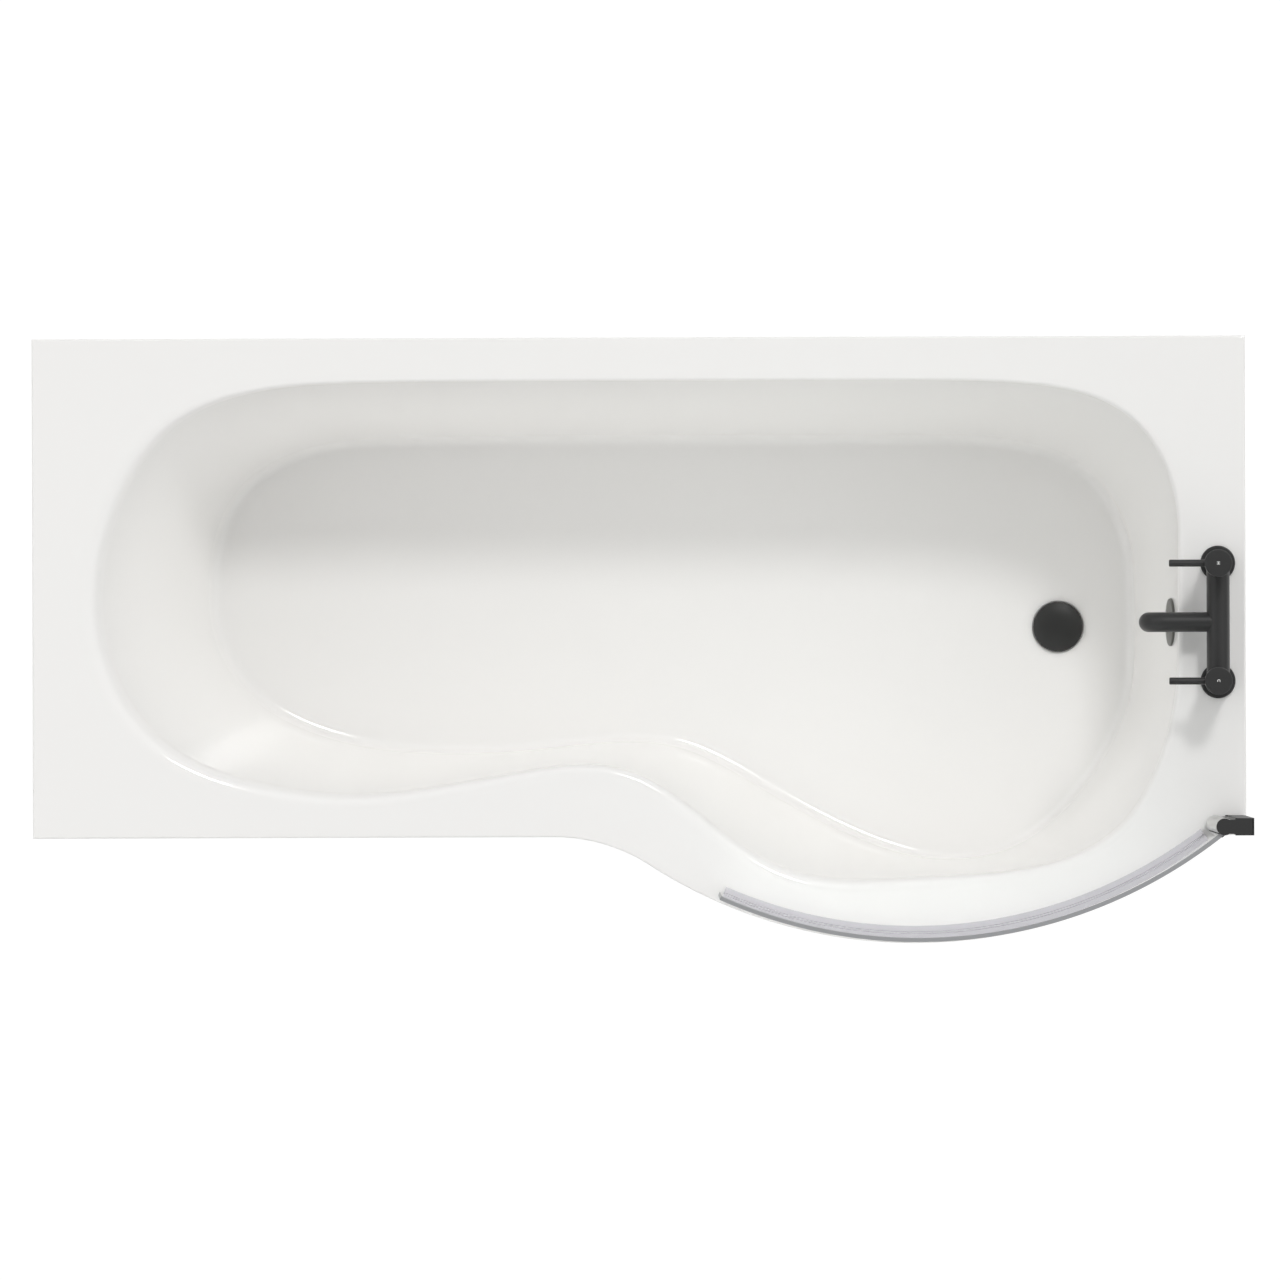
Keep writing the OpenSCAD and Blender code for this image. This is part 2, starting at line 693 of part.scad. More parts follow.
module waste_plug() {
  color(black_metal)
  at_waste(seat_z + seal_t + flange_t + plug_gap)
    rotate_extrude($fn=96)
      polygon(concat([[0, plug_rim_h + plug_dome]],
        [for (k = [1:10]) let (x = plug_r*k/10)
          [x, plug_rim_h + plug_dome*(1 - pow(k/10, 3))]],
        [[plug_r, 0.8], [plug_r - 0.8, 0], [waste_tube_r - 6, 0], [guide_r, -6],
         [stem_r, -6], [stem_r, -stem_len], [0, -stem_len]]));
}

module washer_ring(r0, r1, h) {
  difference() {
    cylinder(h=h, r=r1, $fn=96);
    translate([0, 0, -1])
      cylinder(h=h + 2, r=r0, $fn=96);
  }
}
module waste_seal_upper() {
  color("#1d1d1d")
  at_waste(seat_z)
    washer_ring(waste_tube_r + fit_gap, plug_r - 1, seal_t);
}
module waste_seal_lower() {
  color("#1d1d1d")
  at_waste(body_z)
    washer_ring(waste_tube_r + fit_gap, waste_tube_r + 9, seal_t);
}

// The hose lies in the upright plane through the waste and the overflow
elbow_depth = 26;
elbow_x = overflow_x + 28 + shell_t;
hose_vec = [elbow_x - waste_x, tap_y - waste_y];
hose_run = norm(hose_vec);
hose_turn = atan2(hose_vec.y, hose_vec.x);
port_z = body_z - 20;
port_r = 12;
port_end = waste_tube_r + 34;
elbow_port_z = overflow_z - 50;
trap_top = body_z - body_h;
tail_low = trap_top - 22;

module along_hose(s, z) {
  translate([waste_x, waste_y, z])
    rotate([0, 0, hose_turn])
      translate([s, 0, 0])
        children();
}

module waste_body() {
  color("#e8e8e6")
  difference() {
    union() {
      at_waste(trap_top)
        cylinder(h=body_h, r=waste_tube_r + 9, $fn=96);
      at_waste(tail_low)
        cylinder(h=body_h, r=waste_tube_r - 1, $fn=96);
      along_hose(0, port_z)
        rotate([0, 90, 0])
          cylinder(h=port_end, r=port_r, $fn=48);
    }
    at_waste(seat_z + seal_t + flange_t - tube_h)
      cylinder(h=body_h, r=waste_tube_r + fit_gap, $fn=96);
    at_waste(tail_low - 1)
      cylinder(h=body_h, r=waste_tube_r - 4, $fn=96);
    along_hose(waste_tube_r - 2, port_z)
      rotate([0, 90, 0])
        cylinder(h=port_end, r=port_r - 3, $fn=48);
  }
}

rosette_t = 6;
rosette_edge = 3.4;
rosette_recess = 2;
rosette_seat = 0.25;
// The rosette's face is a shallow dome, given from its edge to its middle
dome_reach = rosette_r - 1;
dome_rise = rosette_t - rosette_edge;
dome_r = (pow(dome_reach, 2) + pow(dome_rise, 2))/(2*dome_rise);
rosette_face = [
  for (k = [8:-1:0])
    let (turn = asin(dome_reach/dome_r)*k/8)
    [dome_r*sin(turn), rosette_t - dome_r*(1 - cos(turn))]
];
post_r = 6;
post_screw_r = 2.5;
module overflow_rosette() {
  color("#5c5c5c")
  at_overflow()
    difference() {
      translate([0, 0, rosette_seat])
        rotate_extrude($fn=96)
          polygon(concat([[post_screw_r, -shell_t - elbow_depth + 6],
            [post_r, -shell_t - elbow_depth + 6], [post_r, rosette_recess],
            [rosette_r - 4, rosette_recess], [rosette_r - 4, 0], [rosette_r, 0],
            [rosette_r, rosette_edge - 0.8]], rosette_face,
            [[0, rosette_t - 3], [post_screw_r, rosette_t - 3]]));
      for (a = [120:30:240])
        rotate([0, 0, a])
          translate([rosette_r - 6, -4, -1])
            cube([8, 8, 3]);
    }
}
module overflow_seal() {
  color("#1d1d1d")
  at_overflow()
    translate([0, 0, -shell_t - seal_t - 0.2])
      washer_ring(overflow_hole_r, overflow_hole_r + 6, seal_t);
}

module overflow_elbow() {
  color("#e8e8e6")
  difference() {
    union() {
      at_overflow()
        translate([0, 0, -shell_t - seal_t - 0.2 - elbow_depth])
          cylinder(h=elbow_depth, r=overflow_hole_r + 6, $fn=96);
      translate([elbow_x, tap_y, elbow_port_z])
        cylinder(h=50, r=port_r, $fn=48);
    }
    at_overflow()
      translate([0, 0, -shell_t - seal_t - elbow_depth + 2.8])
        cylinder(h=elbow_depth, r=overflow_hole_r, $fn=96);
    translate([elbow_x, tap_y, elbow_port_z - 1])
      cylinder(h=40, r=port_r - 3, $fn=48);
    at_overflow()
      translate([0, 0, -shell_t - elbow_depth - 10])
        cylinder(h=elbow_depth, r=post_screw_r + 0.5, $fn=32);
  }
}

// Ribbed hose: down from the overflow, round one bend and in to the waste
hose_bend_r = 60;
hose_wall = 2;
rib_depth = 2.2;
hose_top = elbow_port_z;
hose_drop = hose_top - port_z - hose_bend_r;
hose_arc = hose_bend_r*PI/2;
hose_flat = hose_run - port_end - hose_bend_r;
hose_length = hose_drop + hose_arc + hose_flat;
cuff = 2*hose_r;
rib_n = floor((hose_length - 2*cuff)/rib_pitch);

// Centre of the hose at arc length s, with the direction it runs in
function hose_at(s) =
  s <= hose_drop ? [[hose_run, hose_top - s], -90] :
  s <= hose_drop + hose_arc ?
    let (a = (s - hose_drop)*90/hose_arc)
    [[hose_run - hose_bend_r + hose_bend_r*cos(a),
      port_z + hose_bend_r - hose_bend_r*sin(a)], -90 - a] :
  [[hose_run - hose_bend_r - (s - hose_drop - hose_arc), port_z], 180];
function hose_ring(s, r, sides) =
  let (c = hose_at(s), n = c[1] + 90)
  [for (k = [0:sides - 1]) let (a = 360*k/sides)
    [c[0].x + r*cos(a)*cos(n), r*sin(a), c[0].y + r*cos(a)*sin(n)]];
// Places along the hose and the radius there: plain cuffs, ribs between them
hose_profile = concat(
  [[0, hose_r - 1]],
  [for (k = [0:rib_n - 1]) let (s = cuff + k*(hose_length - 2*cuff)/rib_n)
    each [[s, hose_r - rib_depth], [s + 0.5*rib_pitch, hose_r]]],
  [[hose_length - cuff, hose_r - rib_depth], [hose_length, hose_r - 1]]);
bore_n = 24;

module overflow_hose() {
  sides = 10;
  outer = [for (q = hose_profile) hose_ring(q[0], q[1], sides)];
  inner = [for (k = [bore_n:-1:0])
    hose_ring(k*hose_length/bore_n, hose_r - rib_depth - hose_wall, sides)];
  rings = concat(outer, inner);
  m = len(rings);
  points = [for (ring = rings, p = ring) p];
  faces = [for (j = [0:m - 1], k = [0:sides - 1])
    let (a = j*sides + k, b = j*sides + (k + 1)%sides)
    let (c = ((j + 1)%m)*sides + k, d = ((j + 1)%m)*sides + (k + 1)%sides)
    each [[a, b, d], [a, d, c]]];
  color("#d9d9d6")
  translate([waste_x, waste_y, 0])
    rotate([0, 0, hose_turn])
      polyhedron(points, faces, convexity=6);
}

module hose_nuts() {
  nut_len = 14;
  color("#e8e8e6") {
    along_hose(port_end - nut_len, port_z)
      rotate([0, 90, 0])
        nut(nut_len, 2*hose_r + 4, port_r + fit_gap);
    translate([elbow_x, tap_y, elbow_port_z])
      rotate([0, 0, hose_turn])
        nut(nut_len, 2*hose_r + 4, port_r + fit_gap);
  }
}

// Shallow bath trap with its outlet towards the tap end
cup_r = 33;
cup_floor = 24;
outlet_z = cup_floor + outlet_r + 8;
outlet_end = 120;
spigot_len = 60;
trap_wall = 3;
trap_rim = tail_low + 2;
module trap_body() {
  color("#e8e8e6")
  difference() {
    union() {
      at_waste(cup_floor)
        cylinder(h=trap_rim - cup_floor, r=cup_r, $fn=96);
      at_waste(outlet_z)
        rotate([0, 90, 0]) {
          cylinder(h=outlet_end, r=outlet_r, $fn=64);
          cylinder(h=outlet_end - spigot_len, r=outlet_r + 2.5, $fn=64);
        }
    }
    at_waste(cup_floor + trap_wall)
      cylinder(h=trap_rim - cup_floor, r=cup_r - trap_wall, $fn=96);
    at_waste(outlet_z)
      rotate([0, 90, 0])
        cylinder(h=outlet_end + 1, r=outlet_r - trap_wall, $fn=64);
  }
}
module trap_nut() {
  color("#e8e8e6")
  at_waste(trap_rim)
    difference() {
      cylinder(h=14, r=cup_r + 1, $fn=96);
      translate([0, 0, -1])
        cylinder(h=16, r=waste_tube_r - 1 + fit_gap, $fn=96);
    }
}

// ------------------------------------------------------------- bath filler

rubber_t = 1.5;
flange_h = 5;
shank_r = tail_r + 0.4;
pillar_r = cap_r - 0.8;
pillar_z = rubber_t + flange_h;
cap_z = cap_top - cap_h;
neck_h = 2;
cartridge_r = 11;
cartridge_z = 32;
spindle_r = 4;
spindle_top = cap_z + 22;
lever_z = cap_top - 15;

module tap_body() {
  color(black_metal)
  difference() {
    union() {
      at_pillars()
        translate([0, 0, pillar_z])
          cylinder(h=cap_z - neck_h - pillar_z, r=pillar_r, $fn=96);
      translate([pillar_x, pillars[1], rim_z + bridge_h])
        rotate([-90, 0, 0])
          cylinder(h=pillar_spacing, r=bridge_r, $fn=96);
    }
    at_pillars()
      translate([0, 0, cartridge_z])
        cylinder(h=cap_top, r=cartridge_r + fit_gap, $fn=64);
    translate([pillar_x, tap_y, rim_z + bridge_h])
      rotate([0, -90, 0])
        cylinder(h=bridge_r + 2, r=spout_r - 3, $fn=64);
  }
}

spout_bend_r = 22;
spout_drop = 12;
outlet_x = pillar_x - spout_reach + spout_r;
module tap_spout() {
  color(black_metal)
  translate([0, tap_y, rim_z + bridge_h])
    difference() {
      union() {
        translate([outlet_x + spout_bend_r, 0, 0])
          rotate([0, 90, 0])
            cylinder(h=pillar_x - outlet_x - spout_bend_r, r=spout_r, $fn=96);
        translate([outlet_x + spout_bend_r, 0, -spout_bend_r])
          rotate([90, 0, 0])
            rotate_extrude(angle=90, start=90, $fn=96)
              translate([spout_bend_r, 0])
                circle(r=spout_r, $fn=96);
        translate([outlet_x, 0, -spout_bend_r - spout_drop])
          cylinder(h=spout_drop, r=spout_r, $fn=96);
      }
      translate([pillar_x, 0, 0])
        rotate([90, 0, 0])
          translate([0, 0, -2*bridge_r])
            cylinder(h=4*bridge_r, r=bridge_r + 0.02, $fn=96);
      translate([outlet_x, 0, -spout_bend_r - spout_drop - 1])
        cylinder(h=spout_drop, r=spout_r - 2, $fn=64);
    }
}
module spout_aerator() {
  color("#8d8f91")
  translate([outlet_x, tap_y, rim_z + bridge_h - spout_bend_r - spout_drop + 0.5])
    difference() {
      cylinder(h=spout_drop - 2, r=spout_r - 2 - fit_gap, $fn=64);
      for (a = [0:60:300])
        rotate([0, 0, a])
          translate([6.5, 0, -1])
            cylinder(h=5, r=1.6, $fn=24);
      translate([0, 0, -1])
        cylinder(h=5, r=2, $fn=24);
    }
}
module tap_flanges() {
  color(black_metal)
  at_pillars()
    translate([0, 0, rubber_t])
      rotate_extrude($fn=96)
        polygon([[shank_r + fit_gap, 0], [flange_r, 0], [flange_r, flange_h - 1.5],
          [flange_r - 1.5, flange_h], [shank_r + fit_gap, flange_h]]);
}
module tap_washers() {
  color("#1d1d1d")
  at_pillars()
    washer_ring(shank_r + fit_gap, flange_r - 1, rubber_t);
}
backnut_h = 10;
tail_len = 42;
module tap_tails() {
  nut_low = -shell_t - backnut_h;
  color("#c8a45a")
  at_pillars()
    rotate_extrude($fn=96)
      polygon([[tail_r - 4, nut_low - tail_len], [tail_r, nut_low - tail_len],
        [tail_r, nut_low], [shank_r, nut_low], [shank_r, pillar_z], [tail_r - 4, pillar_z]]);
}
module tap_backnuts() {
  color("#c8a45a")
  at_pillars()
    translate([0, 0, -shell_t - backnut_h])
      nut(backnut_h, 38, shank_r + fit_gap);
}
module valve_cartridges() {
  color("#c8a45a")
  at_pillars()
    difference() {
      union() {
        translate([0, 0, cartridge_z])
          cylinder(h=cap_z - neck_h - cartridge_z, r=cartridge_r, $fn=64);
        translate([0, 0, cap_z - neck_h])
          cylinder(h=neck_h + 6, r=spindle_r + 3, $fn=48);
      }
      translate([0, 0, cartridge_z + 8])
        cylinder(h=cap_top, r=spindle_r + run_gap, $fn=48);
    }
}

module spindle() {
  translate([0, 0, cartridge_z + 8])
    cylinder(h=spindle_top - cartridge_z - 8, r=spindle_r, $fn=48);
}
module handle_cap() {
  difference() {
    translate([0, 0, cap_z])
      rotate_extrude($fn=96)
        polygon([[0, 0], [cap_r - 0.6, 0], [cap_r, 0.6], [cap_r, cap_h - 1],
          [cap_r - 0.3, cap_h - 0.3], [cap_r - 1, cap_h], [0, cap_h]]);
    translate([0, 0, cap_z - 1])
      cylinder(h=spindle_top - cap_z + 1, r=spindle_r + fit_gap, $fn=48);
    translate([0, 0, cap_z - 1])
      cylinder(h=8, r=spindle_r + 3 + free_gap, $fn=48);
    translate([-cap_r + 7, 0, lever_z])
      rotate([0, -90, 0])
        cylinder(h=cap_r, r=lever_r + fit_gap, $fn=48);
  }
}
module lever() {
  translate([-cap_r + 7, 0, lever_z])
    rotate([0, -90, 0])
      rotate_extrude($fn=48)
        polygon([[0, 0], [lever_r, 0], [lever_r, lever_reach - cap_r + 6.4],
          [lever_r - 0.6, lever_reach - cap_r + 7], [0, lever_reach - cap_r + 7]]);
}
module at_pillar(k) {
  translate([pillar_x, pillars[k], rim_z])
    children();
}
module hot_spindle() {
  color("#c8a45a") at_pillar(0) spindle();
}
module cold_spindle() {
  color("#c8a45a") at_pillar(1) spindle();
}
module hot_cap() {
  color(black_metal) at_pillar(0) handle_cap();
}
module cold_cap() {
  color(black_metal) at_pillar(1) handle_cap();
}
module hot_lever() {
  color(black_metal) at_pillar(0) lever();
}
module cold_lever() {
  color(black_metal) at_pillar(1) lever();
}

// Plain hot and cold marks on the caps: an H of three bars and an open ring
mark_h = 4.4;
mark_t = 0.9;
mark_rise = 0.3;
// The marks are read from inside the bath, so their tops point to the tap end
module hot_index() {
  color("white")
  at_pillar(0)
    translate([0, 0, cap_top])
      rotate([0, 0, -90])
        linear_extrude(mark_rise) {
          for (s = [-1, 1])
            translate([s*mark_h/3 - mark_t/2, -mark_h/2])
              square([mark_t, mark_h]);
          translate([-mark_h/3, -mark_t/2])
            square([2*mark_h/3, mark_t]);
        }
}
module cold_index() {
  color("white")
  at_pillar(1)
    translate([0, 0, cap_top])
      rotate_extrude(angle=270, start=-45, $fn=48)
        translate([mark_h/2 - mark_t, 0])
          square([mark_t, mark_rise]);
}

// ------------------------------------------------------------------ screen

glass_r = bulge_r - glass_inset;
seal_low = 3;
seal_web = 2.6;
glass_z = rim_z + seal_low + seal_web;
pivot_cap_t = 5;
pivot_low = rim_z + pivot_cap_t + free_gap;
pivot_high = glass_z + glass_h;
wall_x = tap_x - tile_in;
pivot_x = wall_x - pivot_from_wall;
pivot_path_r = glass_r - glass_t/2 - pivot_in;
pivot_y = bulge_y - sqrt(pow(pivot_path_r, 2) - pow(pivot_x - bulge_x, 2));
channel_y = pivot_y;
channel_face = pivot_x + pivot_tube_r + free_gap;
// Direction from the bulge's centre to the pivot, and where the glass ends
pivot_turn = atan2(pivot_y - bulge_y, pivot_x - bulge_x);
glass_end = pivot_turn - 0.4;
glass_start = glass_end - glass_sweep;
gasket_t = 0.8;

module arc_strip(r0, r1, z0, z1, a0, a1) {
  translate([bulge_x, bulge_y, z0])
    rotate_extrude(angle=a1 - a0, start=a0, $fn=big_fn)
      translate([r0, 0])
        square([r1 - r0, z1 - z0]);
}

module glass_panel() {
  color([0.85, 0.9, 0.92, 0.35])
    arc_strip(glass_r - glass_t, glass_r, glass_z, pivot_high, glass_start, glass_end);
}

slot_end = glass_end + 0.1;
gasket_start = glass_end - 0.65;
module glass_gasket() {
  color("#1d1d1d")
  difference() {
    arc_strip(glass_r - glass_t - gasket_t, glass_r + gasket_t, glass_z, pivot_high,
      gasket_start, slot_end);
    arc_strip(glass_r - glass_t - fit_gap, glass_r + fit_gap, glass_z - 1,
      pivot_high + 1, gasket_start - 1, glass_end + 0.01);
  }
}

pin_depth = 18;
module pivot_tube() {
  color("#c9c9c6")
  difference() {
    translate([pivot_x, pivot_y, pivot_low])
      cylinder(h=pivot_high - free_gap - pivot_low, r=pivot_tube_r, $fn=96);
    arc_strip(glass_r - glass_t - gasket_t - fit_gap, glass_r + gasket_t + fit_gap,
      pivot_low - 1, pivot_high + 1, glass_end - 3, slot_end + 0.02);
    for (z = [pivot_low - 1, pivot_high - free_gap - pin_depth - 1])
      translate([pivot_x, pivot_y, z])
        cylinder(h=pin_depth + 2, r=pivot_pin_r + run_gap, $fn=48);
  }
}

// Clear drip seal on the lower edge of the glass, with a fin over the rim
seal_wall = 1;
seal_h = 16;
fin_reach = 9.5;
fin_low = 0.6;
fin_tip = 1.4;
fin_root = 3;
seal_start = glass_start + 0.5;
seal_end = glass_end - 1.4;
module bottom_seal() {
  inner_r = glass_r - glass_t;
  slot_z = seal_low + seal_web;
  color([0.8, 0.82, 0.85, 0.6])
  translate([bulge_x, bulge_y, rim_z])
    rotate_extrude(angle=seal_end - seal_start, start=seal_start, $fn=big_fn)
      polygon([
        [glass_r + fit_gap, slot_z], [glass_r + fit_gap, slot_z + seal_h],
        [glass_r + seal_wall, slot_z + seal_h], [glass_r + seal_wall, seal_low],
        [inner_r - seal_wall, seal_low],
        [inner_r - fin_reach, fin_low], [inner_r - fin_reach, fin_low + fin_tip],
        [inner_r - 2*seal_wall, seal_low + fin_root], [inner_r - seal_wall, slot_z + seal_h],
        [inner_r - fit_gap, slot_z + seal_h], [inner_r - fit_gap, slot_z]]);
}

channel_in = wall_x - channel_face;
channel_low = rim_z + pivot_cap_t;
module channel_profile(w, x0, x1, t) {
  difference() {
    translate([x0, channel_y - w/2])
      square([x1 - x0, w]);
    translate([x0 - 1, channel_y - w/2 + t])
      square([x1 - x0 + 1 - t, w - 2*t]);
  }
}
module wall_channel() {
  color(black_metal)
  difference() {
    translate([0, 0, channel_low])
      linear_extrude(pivot_high - channel_low)
        channel_profile(channel_w, channel_face + 6, wall_x, channel_t);
    for (s = [-1, 1])
      translate([wall_x - 2*channel_t, channel_y,
        (channel_low + pivot_high)/2 + s*fixing_spacing/2])
        rotate([0, 90, 0])
          cylinder(h=3*channel_t, r=fixing_r, $fn=32);
  }
}
// Inner profile: slides in the channel to take up a wall that isn't plumb
module adjust_profile() {
  w = channel_w - 2*channel_t - 0.4;
  color(black_metal)
  translate([0, 0, channel_low])
    linear_extrude(pivot_high - channel_low)
      difference() {
        translate([channel_face, channel_y - w/2])
          square([channel_in - 6, w]);
        translate([channel_face + channel_t, channel_y - w/2 + channel_t])
          square([channel_in, w - 2*channel_t]);
      }
}

// Caps that carry the pivot pins: round over the tube, square over the channel,
// with a notch on each side between the two
cap_notch = 2.2;
cap_short = 2.5;
module pivot_cap_plan() {
  translate([pivot_x, pivot_y])
    circle(r=pivot_tube_r - 0.4, $fn=96);
  translate([pivot_x, channel_y - channel_w/2 + cap_notch])
    square([wall_x - cap_short - pivot_x, channel_w - 2*cap_notch]);
  translate([channel_face + 2, channel_y - channel_w/2])
    square([wall_x - cap_short - channel_face - 2, channel_w]);
}
module pivot_cap_top() {
  color(black_metal) {
    translate([0, 0, pivot_high])
      linear_extrude(pivot_cap_t)
        pivot_cap_plan();
    translate([pivot_x, pivot_y, pivot_high - pin_depth + 2])
      cylinder(h=pin_depth - 1, r=pivot_pin_r, $fn=48);
  }
}
module pivot_cap_bottom() {
  color(black_metal) {
    translate([0, 0, rim_z])
      linear_extrude(pivot_cap_t)
        pivot_cap_plan();
    translate([pivot_x, pivot_y, rim_z + pivot_cap_t - 1])
      cylinder(h=pin_depth - 1, r=pivot_pin_r, $fn=48);
  }
}

bath_shell();
base_board();
rim_batten_wall();
rim_batten_front();
cradle_rail_foot_end();
cradle_rail_tap_end();
centre_leg_bracket();
rail_screws();
levelling_stud(0);  // levelling_stud_1
levelling_stud(1);  // levelling_stud_2
levelling_stud(2);  // levelling_stud_3
levelling_stud(3);  // levelling_stud_4
levelling_stud(4);  // levelling_stud_5
foot_pad(0);  // foot_pad_1
foot_pad(1);  // foot_pad_2
foot_pad(2);  // foot_pad_3
foot_pad(3);  // foot_pad_4
foot_pad(4);  // foot_pad_5
lock_nuts();
wall_brackets();
front_panel();
panel_floor_batten();
panel_screws();
waste_flange();
waste_plug();
waste_seal_upper();
waste_seal_lower();
waste_body();
overflow_rosette();
overflow_seal();
overflow_elbow();
overflow_hose();
hose_nuts();
trap_body();
trap_nut();
tap_body();
tap_spout();
spout_aerator();
tap_flanges();
tap_washers();
tap_tails();
tap_backnuts();
valve_cartridges();
hot_spindle();
cold_spindle();
hot_cap();
cold_cap();
hot_lever();
cold_lever();
hot_index();
cold_index();
wall_channel();
adjust_profile();
pivot_cap_top();
pivot_cap_bottom();
pivot_tube();
glass_panel();
glass_gasket();
bottom_seal();
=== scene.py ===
# %% [markdown]
# # A p shaped shower bath, dressed in Blender
# The bath is a white acrylic tub on a steel cradle, with a curved front panel, a
# black waste and overflow, a black bath filler and a curved glass screen that
# swings on a pivot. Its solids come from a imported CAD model. This file keeps
# every solid's place, gives each visible piece a finer mesh and its real finish,
# and lights the whole as in a plain studio.

# %% Load the CAD model as a fixed frame
import json
import math
import bmesh
import bpy
import numpy as np
from mathutils import Euler, Matrix, Vector

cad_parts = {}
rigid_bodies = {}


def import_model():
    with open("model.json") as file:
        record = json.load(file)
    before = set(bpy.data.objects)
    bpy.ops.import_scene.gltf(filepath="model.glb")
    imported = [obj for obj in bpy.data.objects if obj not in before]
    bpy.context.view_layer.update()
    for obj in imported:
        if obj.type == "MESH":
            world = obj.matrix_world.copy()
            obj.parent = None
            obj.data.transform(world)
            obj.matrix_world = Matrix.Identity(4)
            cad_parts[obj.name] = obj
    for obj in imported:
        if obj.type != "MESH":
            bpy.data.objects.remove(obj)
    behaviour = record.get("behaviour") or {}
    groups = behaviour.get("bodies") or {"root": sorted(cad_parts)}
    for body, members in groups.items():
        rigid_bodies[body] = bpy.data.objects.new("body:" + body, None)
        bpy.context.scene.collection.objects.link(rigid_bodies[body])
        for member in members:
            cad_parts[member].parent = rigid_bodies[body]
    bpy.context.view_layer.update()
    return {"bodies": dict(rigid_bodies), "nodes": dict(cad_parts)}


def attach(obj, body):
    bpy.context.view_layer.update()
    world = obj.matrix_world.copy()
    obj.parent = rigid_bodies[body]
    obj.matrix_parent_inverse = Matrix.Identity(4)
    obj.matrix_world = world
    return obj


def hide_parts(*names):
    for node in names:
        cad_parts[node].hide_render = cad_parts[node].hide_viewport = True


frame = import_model()

# %% [markdown]
# ## The camera
# The picture looks straight down on the bath from so far away that it is nearly
# a plan: a tub's rim and its floor keep almost the same scale. An orthographic
# camera would be the other way to get that. A very long lens is chosen, because
# it still shows the slight growth of the screen's top, which is nearer.

# %% Camera
RIM_Z = 550                       # height of the flat rim, mm
HALF_VIEW = 896.7                 # half the picture's width at the rim, mm
HALF_ANGLE = math.radians(0.62)
VIEW_X, VIEW_Y = 1.26, 0.92       # point of the bath in the picture's middle, mm
VIEW_TURN = -0.0033               # the picture lies very slightly askew, radians

lens = bpy.data.cameras.new("studio_lens")
lens.sensor_width = 36
lens.lens = lens.sensor_width/2/math.tan(HALF_ANGLE)
lens.clip_start, lens.clip_end = 1, 500
camera = bpy.data.objects.new("studio_camera", lens)
camera.location = (VIEW_X/1000, VIEW_Y/1000,
                   (RIM_Z + HALF_VIEW/math.tan(HALF_ANGLE))/1000)
camera.rotation_euler = (0, 0, VIEW_TURN)
bpy.context.scene.collection.objects.link(camera)
bpy.context.scene.camera = camera
bpy.context.scene.view_settings.view_transform = "Standard"
print("camera is", round(camera.location.z, 1), "m up, with a lens of", round(lens.lens), "mm")

# %% [markdown]
# ## Building finishes from nodes
# Every finish below is a small tree of shader nodes. One helper adds a node with
# its settings and links, and one turns a colour as a painter writes it, in sRGB
# hex, into the linear numbers a shader needs. The rest name what the nodes are
# for: a pattern, a pattern drawn out one way, a value or a colour that follows
# it, and a relief. All patterns start from the position on the piece in metres,
# so their grain has a real size and moves with the piece.

# %% Helpers for node trees
def linear(colour):
    """sRGB hex such as '#efefed' to the linear colour a socket takes."""
    srgb = [int(colour[k:k + 2], 16)/255 for k in (1, 3, 5)]
    return (*[c/12.92 if c <= 0.04045 else ((c + 0.055)/1.055)**2.4 for c in srgb], 1)


def add(tree, kind, inputs=None, **settings):
    """Add a node. inputs gives each socket a value, or the socket that feeds it."""
    node = tree.nodes.new(kind)
    for name, value in settings.items():
        setattr(node, name, value)
    for name, value in (inputs or {}).items():
        if isinstance(value, bpy.types.NodeSocket):
            tree.links.new(value, node.inputs[name])
        else:
            node.inputs[name].default_value = value
    return node


def maths(tree, how, *parts, **settings):
    """Result of a Math node that works on its parts, each a number or a socket."""
    return add(tree, "ShaderNodeMath", dict(enumerate(parts)), operation=how,
               **settings).outputs[0]


def blank(name):
    """An empty material, its tree, and the position on the piece in metres."""
    material = bpy.data.materials.new(name)
    material.use_nodes = True
    tree = material.node_tree
    tree.nodes.clear()
    print("finish:", name)
    return material, tree, add(tree, "ShaderNodeTexCoord").outputs["Object"]


def noise(tree, where, scale, detail):
    """Cloudy pattern from 0 to 1, with about scale clouds in a metre."""
    return add(tree, "ShaderNodeTexNoise", {"Vector": where, "Scale": scale,
               "Detail": detail}).outputs["Fac"]


def drawn(tree, where, scale, turn=(0, 0, 0)):
    """Position turned and scaled along X, Y and Z, which draws a pattern out."""
    return add(tree, "ShaderNodeMapping", {"Vector": where, "Rotation": turn,
               "Scale": scale}).outputs[0]


def between(tree, share, low, high):
    """Value that goes from low to high as share goes from 0 to 1."""
    return add(tree, "ShaderNodeMapRange", {"Value": share, "To Min": low,
               "To Max": high}).outputs[0]


def shades(tree, share, dark, light, start=0, stop=1):
    """Colour that goes from dark to light as share goes from start to stop."""
    ramp = add(tree, "ShaderNodeValToRGB", {"Fac": share})
    for end, position, colour in zip(ramp.color_ramp.elements, (start, stop), (dark, light)):
        end.position, end.color = position, linear(colour)
    return ramp.outputs[0]


def relief(tree, height, strength, depth):
    """Normals of a surface that rises and falls by depth metres."""
    return add(tree, "ShaderNodeBump", {"Height": height, "Strength": strength,
               "Distance": depth}).outputs[0]


def surface(tree, colour, roughness, **more):
    """Principled shader. colour is hex or a socket, and _ stands for a space."""
    inputs = {"Base Color": linear(colour) if isinstance(colour, str) else colour,
              "Roughness": roughness}
    inputs.update({name.replace("_", " "): value for name, value in more.items()})
    return add(tree, "ShaderNodeBsdfPrincipled", inputs)


def show(tree, shader):
    """Send a shader to the tree's output."""
    add(tree, "ShaderNodeOutputMaterial", {"Surface": shader.outputs[0]})


